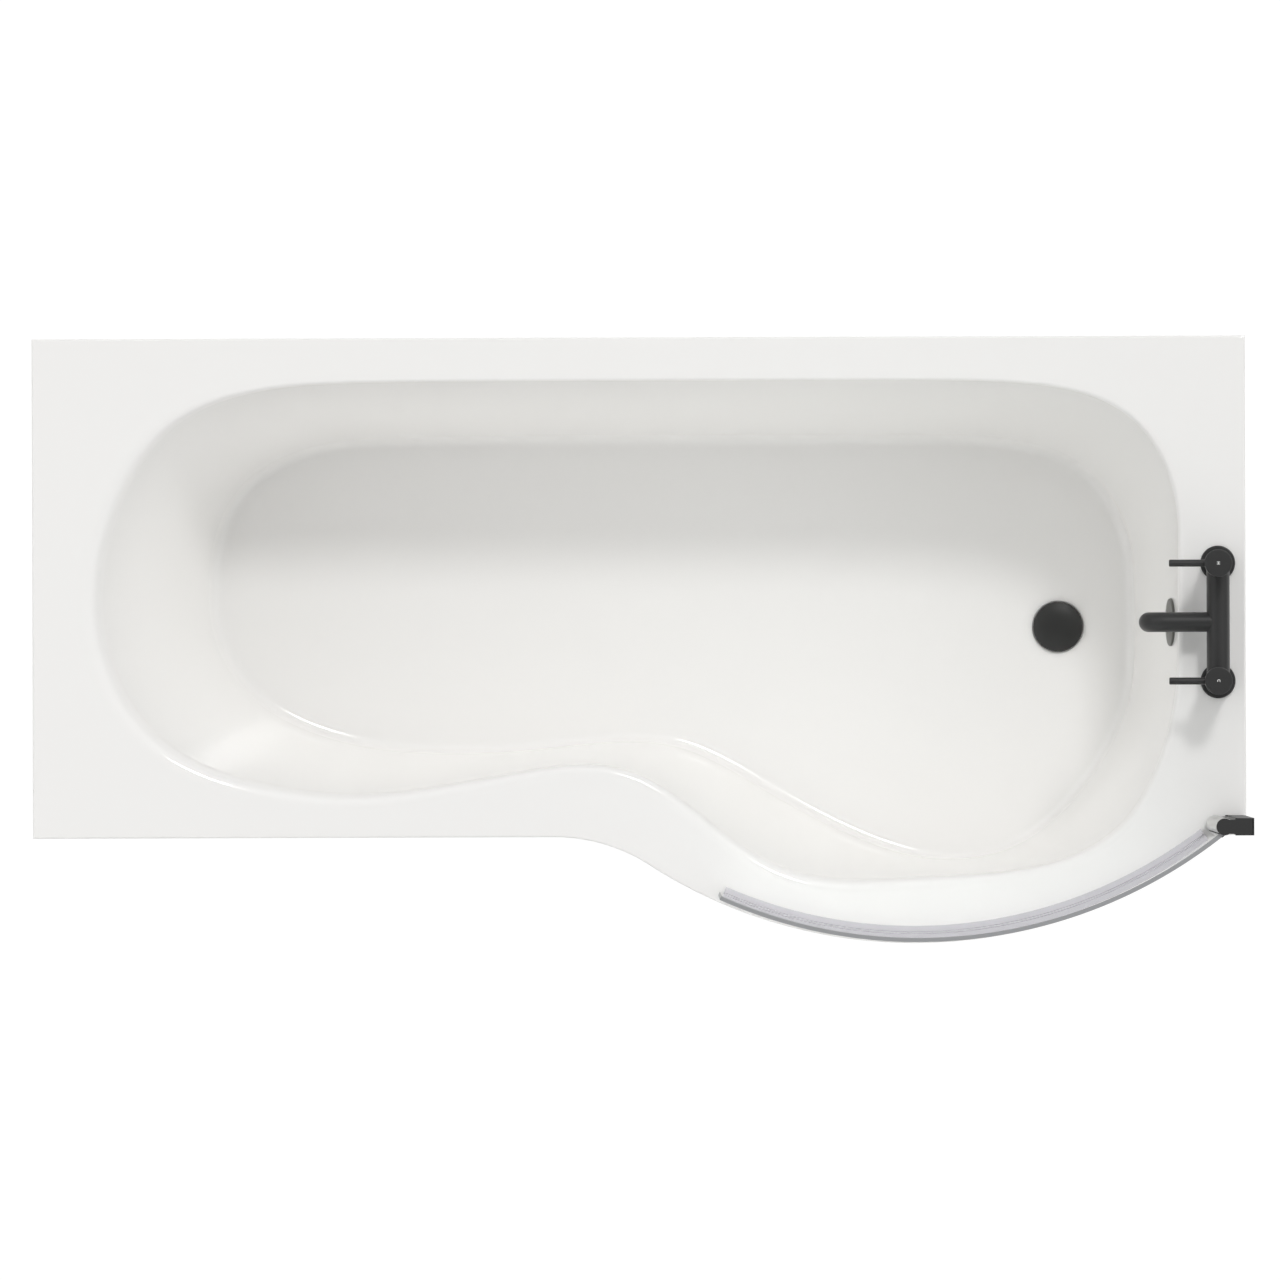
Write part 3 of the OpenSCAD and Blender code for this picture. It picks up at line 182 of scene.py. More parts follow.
def grained(name, colour, roughness, scale, detail, bumps=None, **more):
    """Finish with one noise, which moves the roughness (a pair) or makes bumps.

    The scale is one number, or three for a grain that is drawn out. The bumps
    are a strength and a depth in metres.
    """
    material, tree, place = blank(name)
    grain = (noise(tree, drawn(tree, place, scale), 1, detail) if isinstance(scale, tuple)
             else noise(tree, place, scale, detail))
    if isinstance(roughness, tuple):
        roughness = between(tree, grain, *roughness)
    if bumps:
        more["Normal"] = relief(tree, grain, *bumps)
    show(tree, surface(tree, colour, roughness, **more))
    return material


# %% [markdown]
# ## Light and floor
# A studio picture like this has one large soft lamp high on one side, and white
# walls that throw light back from everywhere. A sun lamp nine degrees wide gives
# the soft-edged shadows. Gloss would show that lamp as a hard bright disc, so
# gloss gets a lamp of its own from the same side, which leaves the thin bright
# lines along the rim and the floor's edge. The fill is a white dome, brightest
# half way up: light from straight above would flatten the well, and light from
# the horizon never gets past the rim. A floor lamp in front could do this too,
# but a dome leaves no second shadow. Rays to the camera and through glass see
# plain white, so the picture's ground is white while the object gets no more
# light than it should. Gloss sees a dimmer picture of the dome.

# %% Lamps
LAMP_WIDE = 9                     # degrees
KEY, GLINT = 0.72, 0.65           # strengths


def sun_lamp(name, energy):
    """A soft sun from the long wall's side, a little towards the taps."""
    sun = bpy.data.lights.new(name, "SUN")
    sun.energy = energy
    sun.angle = math.radians(LAMP_WIDE)
    lamp = bpy.data.objects.new(name, sun)
    lamp.rotation_euler = Vector((0.23, 0.54, 0.82)).to_track_quat("Z", "Y").to_euler()
    bpy.context.scene.collection.objects.link(lamp)
    return lamp


sun_lamp("soft_key", KEY).visible_glossy = False

# The gloss lamp is left out after a second reflection. In a white tub, a wall
# would otherwise show the lamp's picture in the floor as a pale patch.
glint = sun_lamp("glint_on_gloss", GLINT)
glint.visible_diffuse = False
glint.data.use_nodes = True
tree = glint.data.node_tree
tree.nodes.clear()
reflections = add(tree, "ShaderNodeLightPath").outputs["Glossy Depth"]
first = maths(tree, "SUBTRACT", 2, reflections, use_clamp=True)
shine = add(tree, "ShaderNodeEmission", {"Strength": first})
add(tree, "ShaderNodeOutputLight", {"Surface": shine.outputs[0]})
print("lamps:", KEY, "for matt light and", GLINT, "for gloss,", LAMP_WIDE, "degrees wide")

# %% White dome
# strength of the light from each height, 0 at the horizon and 1 straight above
SKY = [(0, 0.06), (1, 0.06), (0.3, 0.25), (0.5, 1.3), (0.72, 1.15), (0.88, 0.42)]
LEFT_GAIN = 0.08                  # extra strength towards -X, less towards +X
GLOSS_SHARE, GLOSS_BASE = 0.7, 0.3

world = bpy.data.worlds.new("white_studio")
bpy.context.scene.world = world
world.use_nodes = True
tree = world.node_tree
tree.nodes.clear()
look = add(tree, "ShaderNodeSeparateXYZ",
           {0: add(tree, "ShaderNodeTexCoord").outputs["Generated"]})
bands = add(tree, "ShaderNodeValToRGB", {"Fac": look.outputs["Z"]})
stops = bands.color_ramp.elements
for k, (height, strength) in enumerate(SKY):
    stop = stops[k] if k < 2 else stops.new(height)
    stop.position, stop.color = height, (strength, strength, strength, 1)
side = maths(tree, "MULTIPLY_ADD", look.outputs["X"], -LEFT_GAIN, 1)
fill = maths(tree, "MULTIPLY", bands.outputs["Color"], side)
rays = add(tree, "ShaderNodeLightPath").outputs
in_gloss = maths(tree, "MULTIPLY_ADD", fill, GLOSS_SHARE, GLOSS_BASE)
dim = between(tree, rays["Is Glossy Ray"], fill, in_gloss)
clear = maths(tree, "MAXIMUM", rays["Is Camera Ray"], rays["Is Transmission Ray"])
ground = add(tree, "ShaderNodeBackground", {"Color": (1, 1, 1, 1),
             "Strength": between(tree, clear, dim, 1)})
add(tree, "ShaderNodeOutputWorld", {"Surface": ground.outputs[0]})
print("dome: strongest", max(strength for _, strength in SKY), "in", len(SKY), "bands")

# %% Floor
# Seen directly, off gloss or through glass, it glows white, but a tenth of it
# stays a matt floor that takes the object's shadow
GLOW, GLOW_SHARE, HALF_FLOOR = 1.06, 0.9, 40
floor_finish, tree, _ = blank("white_studio_floor")
rays = add(tree, "ShaderNodeLightPath").outputs
either = maths(tree, "MAXIMUM", rays["Is Camera Ray"], rays["Is Glossy Ray"])
seen = maths(tree, "MAXIMUM", either, rays["Is Transmission Ray"])
matt = add(tree, "ShaderNodeBsdfDiffuse", {"Color": (0.97, 0.97, 0.97, 1)})
bright = add(tree, "ShaderNodeEmission", {"Strength": GLOW})
show(tree, add(tree, "ShaderNodeMixShader", {0: maths(tree, "MULTIPLY", seen, GLOW_SHARE),
               1: matt.outputs[0], 2: bright.outputs[0]}))
floor_mesh = bpy.data.meshes.new("studio_floor")
floor_mesh.from_pydata([(x*HALF_FLOOR, y*HALF_FLOOR, 0) for x, y in
                        ((-1, -1), (1, -1), (1, 1), (-1, 1))], [], [(0, 1, 2, 3)])
floor_mesh.materials.append(floor_finish)
floor = bpy.data.objects.new("studio_floor", floor_mesh)
bpy.context.scene.collection.objects.link(floor)
print("floor:", 2*HALF_FLOOR, "m wide")

# %% [markdown]
# ## Finishes of the tub
# The tub is cast acrylic sheet, drawn hot over a mould by vacuum. That leaves a
# deep gloss with a very faint ripple, called orange peel. Chopped glass strands
# and resin are sprayed on its back, which dry to a rough, yellowish, stringy
# coat. The chipboard under the floor is pressed wood flakes.

# %% Acrylic, sprayed backing, board and timber
# Gloss all over, and a ripple some 12 mm long and a few microns deep
acrylic = grained("cast_white_acrylic", "#FCFBF9", 0.1, 80, 1, (0.25, 0.00004), IOR=1.49)

# Strands 1 mm wide and 25 mm long, crossing under cloudy resin
backing, tree, place = blank("sprayed_glass_fibre")
strands = [noise(tree, drawn(tree, place, (40, 900, 500), (turn, turn, 3*turn)), 1, 2)
           for turn in (0.4, 1.5, 2.6)]
crossed = maths(tree, "MAXIMUM", maths(tree, "MAXIMUM", *strands[:2]), strands[2])
tint = shades(tree, crossed, "#D8D2C0", "#EFECE3", 0.45, 0.75)
cloud = between(tree, noise(tree, place, 14, 3), 0.86, 1.06)
resin = add(tree, "ShaderNodeVectorMath", {0: tint, "Scale": cloud}, operation="SCALE")
show(tree, surface(tree, resin.outputs[0], 0.48, IOR=1.54,
                   Normal=relief(tree, crossed, 0.7, 0.0008)))

# Flakes 3 to 8 mm across, pressed flat, each its own shade of brown
chipboard, tree, place = blank("pressed_chipboard")
flakes = add(tree, "ShaderNodeTexVoronoi", {"Vector": drawn(tree, place, (1, 1, 3)),
             "Scale": 200})
browns = shades(tree, flakes.outputs["Color"], "#A98C62", "#D3BC93")
grit = relief(tree, flakes.outputs["Distance"], 0.4, 0.0004)
show(tree, surface(tree, browns, 0.8, Normal=grit))

# Sawn spruce: growth rings some 4 mm apart, drawn out along the length
timber, tree, place = blank("sawn_spruce")
grain = noise(tree, drawn(tree, place, (4, 250, 250)), 1, 4)
wood = shades(tree, grain, "#B08A58", "#DCC294", 0.35, 0.65)
show(tree, surface(tree, wood, 0.72, Normal=relief(tree, grain, 0.4, 0.0003)))

# %% [markdown]
# ## Finishes of the metals
# The cradle is folded from zinc plated sheet, which has a dull, slightly patchy
# shine. The filler, the caps and the wall channel are powder coated matt black:
# a thin plastic skin with a fine grain that breaks up every reflection.

# %% Metals
# Crystals of zinc a few millimetres across, each a little duller or brighter
zinc, tree, place = blank("zinc_plated_steel")
spangle = add(tree, "ShaderNodeTexVoronoi", {"Vector": place, "Scale": 220}).outputs["Color"]
show(tree, surface(tree, shades(tree, spangle, "#B3B6BA", "#CDD0D3"),
                   between(tree, spangle, 0.3, 0.46), Metallic=1))

# Powder coat: grains 0.4 mm apart, drawn at 0.8 mm so that they show
powder = grained("matt_black_powder_coat", "#282828", (0.38, 0.5), 1250, 2,
                 (0.3, 0.00005), IOR=1.5)

# The waste's plug and flange are painted satin black, smoother than the powder
enamel = grained("satin_black_enamel", "#222221", (0.36, 0.44), 300, 1, IOR=1.5)

# Gunmetal grey paint on the overflow's rosette, with fine brushing across it
gunmetal = grained("satin_grey_rosette", "#60605C", 0.34, (200, 60, 1600), 2,
                   (0.4, 0.00006), Metallic=0.3)

# Turned brass: tool marks a third of a millimetre apart, a warm yellow shine
brass = grained("turned_brass", "#D8B566", (0.2, 0.42), (60, 60, 3000), 1, Metallic=1)

# Bright plated insert of the aerator, with faint clouds 2 mm across
plated = grained("bright_plated_insert", "#A9ABAE", (0.12, 0.22), 500, 1, Metallic=1)

# Anodised aluminium: drawn lengthwise, so its fine lines run up the tube
anodised = grained("satin_anodised_aluminium", "#CFCFCD", (0.28, 0.42), (2500, 2500, 5), 2,
                   Metallic=0.85)

# %% [markdown]
# ## Finishes of the plastics, rubber and glass
# The trap, its nuts and the elbows are moulded polypropylene, which is waxy and
# lets a little light in. The hose is softer polythene. Seals and gaskets are
# black rubber. The screen is toughened glass, clear through its faces and grey
# at its edges, which are ground dull and so scatter the light.

# %% Plastics and rubber
LIGHT_REACH = (0.003, 0.003, 0.003)      # how far light gets into the plastic, m

# A mould's spark-eroded texture, 1 mm across and 50 microns deep
moulded = grained("moulded_polypropylene", "#E9E9E7", 0.38, 900, 2, (0.3, 0.00005),
                  IOR=1.49, Subsurface_Weight=0.15, Subsurface_Radius=LIGHT_REACH,
                  Subsurface_Scale=1)

# Waxy patches some 17 mm across on the hose
polythene = grained("soft_polythene", "#DADAD6", (0.36, 0.5), 60, 2, IOR=1.51,
                    Subsurface_Weight=0.2, Subsurface_Radius=LIGHT_REACH,
                    Subsurface_Scale=1)

# Dull rubber with a dusty bloom, nylon with a slightly deeper texture than the
# trap's, and the white ink of the marks, unevenly dry
rubber = grained("black_rubber", "#1D1D1D", (0.6, 0.8), 700, 3, IOR=1.52)
nylon = grained("black_moulded_nylon", "#2A2A2B", 0.45, 1000, 2, (0.4, 0.00008), IOR=1.53)
printed = grained("white_printed_mark", "#F2F2F0", (0.4, 0.55), 2500, 1)

# %% Glass, its ground edge and the clear seal
# A plain glass shader casts a black shadow, since no lamp is found through it.
# For shadow rays alone it is swapped for a faintly tinted clear shader.
glass, tree, place = blank("toughened_glass")
roll = relief(tree, noise(tree, place, 6, 0), 0.05, 0.0005)
pane = surface(tree, "#F4F8F7", 0, IOR=1.52, Transmission_Weight=1, Normal=roll)
through = add(tree, "ShaderNodeBsdfTransparent", {"Color": linear("#F1F3F2")})
rays = add(tree, "ShaderNodeLightPath").outputs
show(tree, add(tree, "ShaderNodeMixShader", {0: rays["Is Shadow Ray"], 1: pane.outputs[0],
               2: through.outputs[0]}))

# Edges ground with a fine wheel: grey, and dull beside the faces
ground_edge = grained("ground_glass_edge", "#9C9D9F", 0.35, 1500, 2, (0.3, 0.00004),
                      IOR=1.52)

# Clear soft vinyl, a little cloudy with age: half of the light goes straight
# through, and the rest is scattered back
vinyl, tree, place = blank("clear_soft_vinyl")
milky = between(tree, noise(tree, place, 40, 2), 0.2, 0.3)
body = surface(tree, "#F7F6F9", milky, IOR=1.53)
clear = add(tree, "ShaderNodeBsdfTransparent", {"Color": linear("#F6F5F8")})
show(tree, add(tree, "ShaderNodeMixShader", {0: 0.5, 1: body.outputs[0],
               2: clear.outputs[0]}))
print(len([m for m in bpy.data.materials if m.use_nodes]), "finishes, with the CAD model's own")

# %% [markdown]
# ## Helpers for meshes
# All sizes below are in millimetres, as on the maker's drawing, and are divided
# by a thousand where a mesh is made. Four ways of making a mesh cover the bath:
# turning a profile on a lathe, pushing an outline up into a prism, sweeping a
# section along a line with Geometry Nodes, and taking a solid of the CAD model
# and easing its edges, since no real edge is quite sharp.

# %% From points to a finished piece
MERGE = 1e-6                      # points nearer to each other than this are one, m
BOX_FACES = [(0, 1, 3, 2), (4, 5, 7, 6), (0, 1, 5, 4), (2, 3, 7, 6), (0, 2, 6, 4),
             (1, 3, 7, 5)]


def at(x=0, y=0, z=0, turn=(0, 0, 0)):
    """Place in mm and turn in degrees, as one matrix in metres."""
    turned_by = Euler([math.radians(a) for a in turn]).to_matrix().to_4x4()
    return Matrix.Translation((x/1000, y/1000, z/1000)) @ turned_by


def opened(*meshes):
    """A bmesh, which can be worked on, with all that these meshes hold."""
    made = bmesh.new()
    for mesh in meshes:
        made.from_mesh(mesh)
    return made


def done(made):
    """A new mesh with what a bmesh holds. The bmesh goes."""
    mesh = bpy.data.meshes.new("made")
    made.to_mesh(mesh)
    made.free()
    return mesh


def closed(made):
    """Merge the points of a bmesh that coincide, and turn its faces outwards."""
    bmesh.ops.remove_doubles(made, verts=made.verts, dist=MERGE)
    bmesh.ops.recalc_face_normals(made, faces=made.faces)
    return made


def solid(points, faces, finish_of=None):
    """Closed mesh from points in mm."""
    made = bmesh.new()
    corners = [made.verts.new([c/1000 for c in p]) for p in points]
    for k, face in enumerate(faces):
        made.faces.new([corners[c] for c in face]).material_index = (
            finish_of[k] if finish_of else 0)
    return done(closed(made))


def block(xs, ys, zs):
    """Box between two x, two y and two z."""
    return solid([(x, y, z) for x in xs for y in ys for z in zs], BOX_FACES)


def together(*meshes):
    """Several meshes as one."""
    return done(opened(*meshes))


def moved(mesh, *places):
    """Copies of a mesh at these places, as one mesh."""
    copies = []
    for place in places:
        copies.append(mesh.copy())
        copies[-1].transform(place)
    return together(*copies)


def plain(thing):
    """The plain mesh that an object's modifiers lead to. The object goes."""
    bpy.context.view_layer.update()
    seen = thing.evaluated_get(bpy.context.evaluated_depsgraph_get())
    mesh = bpy.data.meshes.new_from_object(seen)
    thing.modifiers.clear()
    bpy.data.objects.remove(thing)
    return mesh


def helper(mesh):
    """A passing object that holds a mesh while another is made from it."""
    thing = bpy.data.objects.new("helper", mesh)
    bpy.context.scene.collection.objects.link(thing)
    return thing


def combined(mesh, other, how="DIFFERENCE"):
    """mesh minus, or united with, another closed mesh."""
    body, tool = helper(mesh), helper(other)
    boolean = body.modifiers.new("boolean", "BOOLEAN")
    boolean.operation, boolean.object, boolean.solver = how, tool, "EXACT"
    made = plain(body)
    bpy.data.objects.remove(tool)
    return made


def keep(name, mesh, finishes, *nodes, crease=32):
    """Make a mesh a piece of the bath, in place of these CAD nodes and on their body.

    A broad face beside a small rounded edge would be shaded as if it were bent, so
    the normals are weighted by the area of the faces, and broad faces stay flat.
    """
    while len(mesh.materials) < len(finishes):
        mesh.materials.append(None)
    for k, finish in enumerate(finishes):
        mesh.materials[k] = finish
    mesh.shade_smooth()
    mesh.set_sharp_from_angle(angle=math.radians(crease))
    passing = helper(mesh)
    passing.modifiers.new("by_area", "WEIGHTED_NORMAL").keep_sharp = True
    mesh = plain(passing)
    mesh.name = name
    piece = bpy.data.objects.new(name, mesh)
    bpy.context.scene.collection.objects.link(piece)
    holder = frame["nodes"][nodes[0]].parent
    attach(piece, next(b for b, empty in frame["bodies"].items() if empty == holder))
    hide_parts(*nodes)
    mesh.calc_loop_triangles()
    print(f"{name}: {len(mesh.loop_triangles)} triangles, for {', '.join(nodes)}")


# %% Profiles, lathe and prism
def eased(outline, r, n=3):
    """Outline with its corners rounded off by r mm. Points on the axis stay sharp."""
    out = []
    for k, p in enumerate(outline):
        p, a, b = (np.array(q, float) for q in
                   (p, outline[k - 1], outline[(k + 1) % len(outline)]))
        to_a, to_b = np.linalg.norm(a - p), np.linalg.norm(b - p)
        cut = min(r, 0.45*to_a, 0.45*to_b)
        if p[0] == 0 or cut < 0.01:
            out.append(tuple(p))
            continue
        start, end = p + (a - p)*cut/to_a, p + (b - p)*cut/to_b
        for t in np.linspace(0, 1, n + 1):
            out.append(tuple((1 - t)**2*start + 2*t*(1 - t)*p + t*t*end))
    return out


def turned(profile, n=96, place=Matrix()):
    """Mesh turned on a lathe from (radius, height) points, from axis to axis or as a ring."""
    points, rows, faces = [], [], []
    for r, z in profile:
        if r == 0:
            rows.append([len(points)]*n)
            points.append((0, 0, z))
        else:
            rows.append(list(range(len(points), len(points) + n)))
            points += [(r*math.cos(2*math.pi*k/n), r*math.sin(2*math.pi*k/n), z)
                       for k in range(n)]
    if profile[0][0] > 0:
        rows.append(rows[0])
    for low, high in zip(rows, rows[1:]):
        for k in range(n):
            face = list(dict.fromkeys([low[k], low[(k + 1) % n], high[(k + 1) % n], high[k]]))
            if len(face) > 2:
                faces.append(face)
    mesh = solid(points, faces)
    mesh.transform(place)
    return mesh


def sleeve(bore, r, z0, z1, ease=0, n=96, place=Matrix()):
    """Ring turned on the lathe, with its edges eased. With no bore it is a rod."""
    return turned(eased([(bore, z0), (r, z0), (r, z1), (bore, z1)], ease), n, place)


def soften(made, ease, crease=35):
    """Bevel the hard edges of a bmesh by so many mm."""
    hard = [e for e in made.edges if len(e.link_faces) == 2
            and e.calc_face_angle(0) > math.radians(crease)]
    bmesh.ops.bevel(made, geom=hard, offset=ease/1000, segments=2, profile=0.6,
                    affect="EDGES", clamp_overlap=True)


def prism(outline, z0, z1, ease=0.4):
    """Mesh of an outline pushed up from z0 to z1, with its hard edges eased."""
    n = len(outline)
    points = [(x, y, z0) for x, y in outline] + [(x, y, z1) for x, y in outline]
    sides = [[k, (k + 1) % n, n + (k + 1) % n, n + k] for k in range(n)]
    made = opened(solid(points, [list(range(n)), list(range(n, 2*n)), *sides]))
    soften(made, ease)
    return done(made)


FLAT_ANGLE = math.radians(0.6)    # triangles that meet at less than this are merged


def keep_eased(finish, ease, **names):
    """Keep the shape of CAD nodes, each under a new name, with hard edges eased."""
    for node, name in names.items():
        made = opened(frame["nodes"][node].data)
        bmesh.ops.remove_doubles(made, verts=made.verts, dist=2*MERGE)
        bmesh.ops.dissolve_limit(made, angle_limit=FLAT_ANGLE, verts=made.verts,
                                 edges=made.edges)
        soften(made, ease)
        keep(name, done(made), [finish], node)


# %% Geometry Nodes: trees with named inputs
def new_tree(name, **kinds):
    """A Geometry Nodes tree. kinds gives each input's name and socket type."""
    tree = bpy.data.node_groups.new(name, "GeometryNodeTree")
    tree.interface.new_socket("Geometry", in_out="OUTPUT",
                              socket_type="NodeSocketGeometry")
    for socket, kind in {**kinds, "Finish": "Material"}.items():
        tree.interface.new_socket(socket, in_out="INPUT", socket_type="NodeSocket" + kind)
    return tree, tree.nodes.new("NodeGroupInput").outputs


def shape_of(tree, thing):
    """Geometry of the object that is given to an input."""
    return add(tree, "GeometryNodeObjectInfo", {"Object": thing}).outputs["Geometry"]


def curve_of(tree, thing):
    """The line that the given object's edges make."""
    return add(tree, "GeometryNodeMeshToCurve", {"Mesh": shape_of(tree, thing)}).outputs[0]


def upright(tree, curve):
    """A curve whose sections are swept without leaning over."""
    return add(tree, "GeometryNodeSetCurveNormal", {"Curve": curve}, mode="Z_UP").outputs[0]


def sweep(tree, curve, section, **more):
    """A section swept along a curve, with both ends closed."""
    return add(tree, "GeometryNodeCurveToMesh", {"Curve": curve, "Profile Curve": section,
               "Fill Caps": True, **more}).outputs[0]


def set_out(tree, points, thing, **more):
    """Copies of the given object on points."""
    return add(tree, "GeometryNodeInstanceOnPoints", {"Points": points,
               "Instance": shape_of(tree, thing), **more}).outputs[0]


def close_tree(tree, given, shape):
    """End a tree in Realize Instances and Set Material, and hand it back."""
    real = add(tree, "GeometryNodeRealizeInstances", {"Geometry": shape})
    dressed = add(tree, "GeometryNodeSetMaterial", {"Geometry": real.outputs[0],
                  "Material": given["Finish"]})
    add(tree, "NodeGroupOutput", {"Geometry": dressed.outputs[0]})
    print(f"tree {tree.name}: {len(tree.nodes)} nodes")
    return tree


def grow(tree, **values):
    """The plain mesh that a tree makes with these inputs. Helper objects go."""
    thing = helper(bpy.data.meshes.new("seed"))
    nodes = thing.modifiers.new("nodes", "NODES")
    nodes.node_group = tree
    for item in tree.interface.items_tree:
        if item.item_type == "SOCKET" and item.in_out == "INPUT":
            nodes[item.identifier] = values[item.name]
    mesh = plain(thing)
    for value in values.values():
        if isinstance(value, bpy.types.Object):
            bpy.data.objects.remove(value)
    print(f"  {tree.name}: {len(mesh.polygons)} faces")
    return mesh


def line_of(points, closed=False):
    """A helper object that holds points in mm as a line, open or closed."""
    n = len(points)
    mesh = bpy.data.meshes.new("line")
    mesh.from_pydata([[c/1000 for c in (*p, 0)[:3]] for p in points],
                     [(k, (k + 1) % n) for k in range(n if closed else n - 1)], [])
    return helper(mesh)


# %% [markdown]
# ## The tub
# The tub is one moulded skin: a flat rim, walls that lean in, a soft curve into
# a floor that falls to the waste, and a lip that turns down all round. A
# subdivision cage could draw it, but its rim would not keep to a true rectangle
# and arc. It is lofted instead. Thirty-five stations run round the well, each
# with a point of the rim's edge, the corner where the flat rim breaks into the
# wall, the corner where the wall meets the floor, and how far the break rolls
# over. Smooth curves (cubic B-splines) run through each column, and a section
# of the skin is drawn at 560 places between the stations.

# %% Lines of the tub's plan, in mm
TAP_X, FOOT_X, WALL_Y, FRONT_Y, APEX_Y = 850, -850, 425, -275, -425
BULGE_R, NECK_R = 684, 245
BULGE_X, BULGE_Y = TAP_X - 464, APEX_Y + BULGE_R
NECK_Y = FRONT_Y - NECK_R
NECK_X = BULGE_X - math.sqrt((BULGE_R + NECK_R)**2 - (BULGE_Y - NECK_Y)**2)
LEDGE_X = BULGE_X + math.sqrt(BULGE_R**2 - (BULGE_Y - FRONT_Y)**2)
SKIN, LIP_H, LIP_T, FLOOR_Z = 7, 30, 5, 160
UNDER_Z = FLOOR_Z - SKIN
FLOOR_ROUND, EDGE_ROUND = 16, 3
WASTE_X, WASTE_Y = 589.7, 17.8


def join_x(inset):
    """x where the hollow neck passes into the bulge."""
    return NECK_X + (BULGE_X - NECK_X)*(NECK_R + inset)/(BULGE_R + NECK_R)


def edge_y(x, inset=0):
    """y of the front edge at x, drawn in by inset."""
    if x <= NECK_X:
        return FRONT_Y + inset
    if x <= join_x(inset):
        return NECK_Y + math.sqrt((NECK_R + inset)**2 - (x - NECK_X)**2)
    return min(BULGE_Y - math.sqrt((BULGE_R - inset)**2 - (x - BULGE_X)**2),
               FRONT_Y + inset)


JOIN = join_x(0)
print("neck at x", round(NECK_X, 1), "joins the bulge at x", round(JOIN, 1))

# %% Stations round the well, clockwise from the long wall
# rim's edge (on the front its x alone), break of the rim, floor's corner, roll
STATIONS = [
    [(-430, 425), (-430, 369), (-370, 271), 5], [(-150, 425), (-150, 369), (-140, 271), 4],
    [(150, 425), (150, 369), (150, 271), 4], [(420, 425), (420, 369), (400, 271), 4],
    [(600, 425), (560, 366), (500, 271), 5], [(850, 425), (673, 343), (590, 251), 7],
    [(850, 285), (740, 276), (640, 209), 9], [(850, 200), (767, 190), (672, 150), 9],
    [(850, 110), (765, 110), (680, 100), 9], [(850, 30), (765, 30), (680, 27), 9],
    [(850, -50), (765, -50), (680, -42), 9], [(850, -115), (757, -117), (671, -92), 10],
    [(850, -180), (738, -185), (645, -150), 12], [(850, -275), (702, -261), (600, -216), 14],
    [LEDGE_X, (631, -314), (541, -271), 16], [656, (531, -335), (471, -302), 17],
    [516, (421, -348), (391, -294), 18], [386, (311, -358), (321, -267), 18],
    [266, (216, -350), (251, -233), 17], [JOIN + 160, (141, -309), (186, -195), 15],
    [JOIN + 75, (71, -251), (121, -155), 14],
    [JOIN, (NECK_X + 130, -202), (46, -124), 13],
    [NECK_X, (NECK_X + 52, -180), (NECK_X + 72, -126), 13],
    [NECK_X - 90, (NECK_X - 40, -195), (NECK_X - 30, -139), 14],
    [NECK_X - 190, (NECK_X - 160, -220), (NECK_X - 140, -143), 16],
    [NECK_X - 310, (NECK_X - 280, -238), (-370, -135), 18],
    [-530, (-520, -226), (-455, -113), 20], [(-850, -275), (-650, -190), (-525, -75), 22],
    [(-850, -140), (-737, -118), (-567, -22), 24], [(-850, -40), (-780, -25), (-585, 35), 26],
    [(-850, 65), (-790, 65), (-585, 95), 26], [(-850, 170), (-772, 165), (-575, 160), 24],
    [(-850, 290), (-724, 261), (-540, 222), 20], [(-850, 425), (-655, 328), (-480, 253), 14],
    [(-560, 425), (-545, 360), (-425, 268), 8]]
BETWEEN = 16                      # sections from one station to the next


def spline(column, i, t):
    """Cubic B-spline through one column of the stations, at t past station i."""
    a, b, c, d = (np.array(STATIONS[(i + k) % len(STATIONS)][column], float)
                  for k in (-1, 0, 1, 2))
    return ((1 - t)**3*a + (3*t**3 - 6*t*t + 4)*b + (3*t + 3*t*t - 3*t**3 + 1)*c
            + t**3*d)/6


def edge(i, t, inset):
    """Point of the rim's edge between stations i and i + 1, drawn in by inset."""
    a, b = STATIONS[i][0], STATIONS[(i + 1) % len(STATIONS)][0]
    on_front = not (isinstance(a, tuple) and isinstance(b, tuple))
    a, b = (p if isinstance(p, tuple) else (p, edge_y(p)) for p in (a, b))
    x, y = (a[k]*(1 - t) + b[k]*t for k in (0, 1))
    x = max(FOOT_X + inset, min(TAP_X - inset, x))
    front = edge_y(x, inset)
    return np.array([x, front if on_front else max(front, min(WALL_Y - inset, y))])


def floor_at(x):
    """Height of the floor, which falls 7 mm a metre towards the waste."""
    return FLOOR_Z + (WASTE_X - x)*0.007


def bend(p, q, r, n):
    """Curve from p to r that leaves and arrives along the lines through q."""
    return [(1 - t)**2*p + 2*t*(1 - t)*q + t*t*r for t in np.linspace(0, 1, n + 1)]


# %% One section of the skin
def flat(p, z):
    """A point of the plan at height z."""
    return np.array([p[0], p[1], z])


def wall(rim, low, out, roll, near, high, n_low, n_wall, n_high):
    """Floor's curve, leaning wall and rolled break, from the floor up."""
    up = (rim - low)/np.linalg.norm(rim - low)
    across = np.array([*out, 0])
    foot = bend(low - near*across, low, low + near*up, n_low)
    top = bend(rim - high*up, rim, rim + roll*across, n_high)
    lean = [foot[-1] + (top[0] - foot[-1])*k/n_wall for k in range(1, n_wall)]
    return [*foot, *lean, *top]


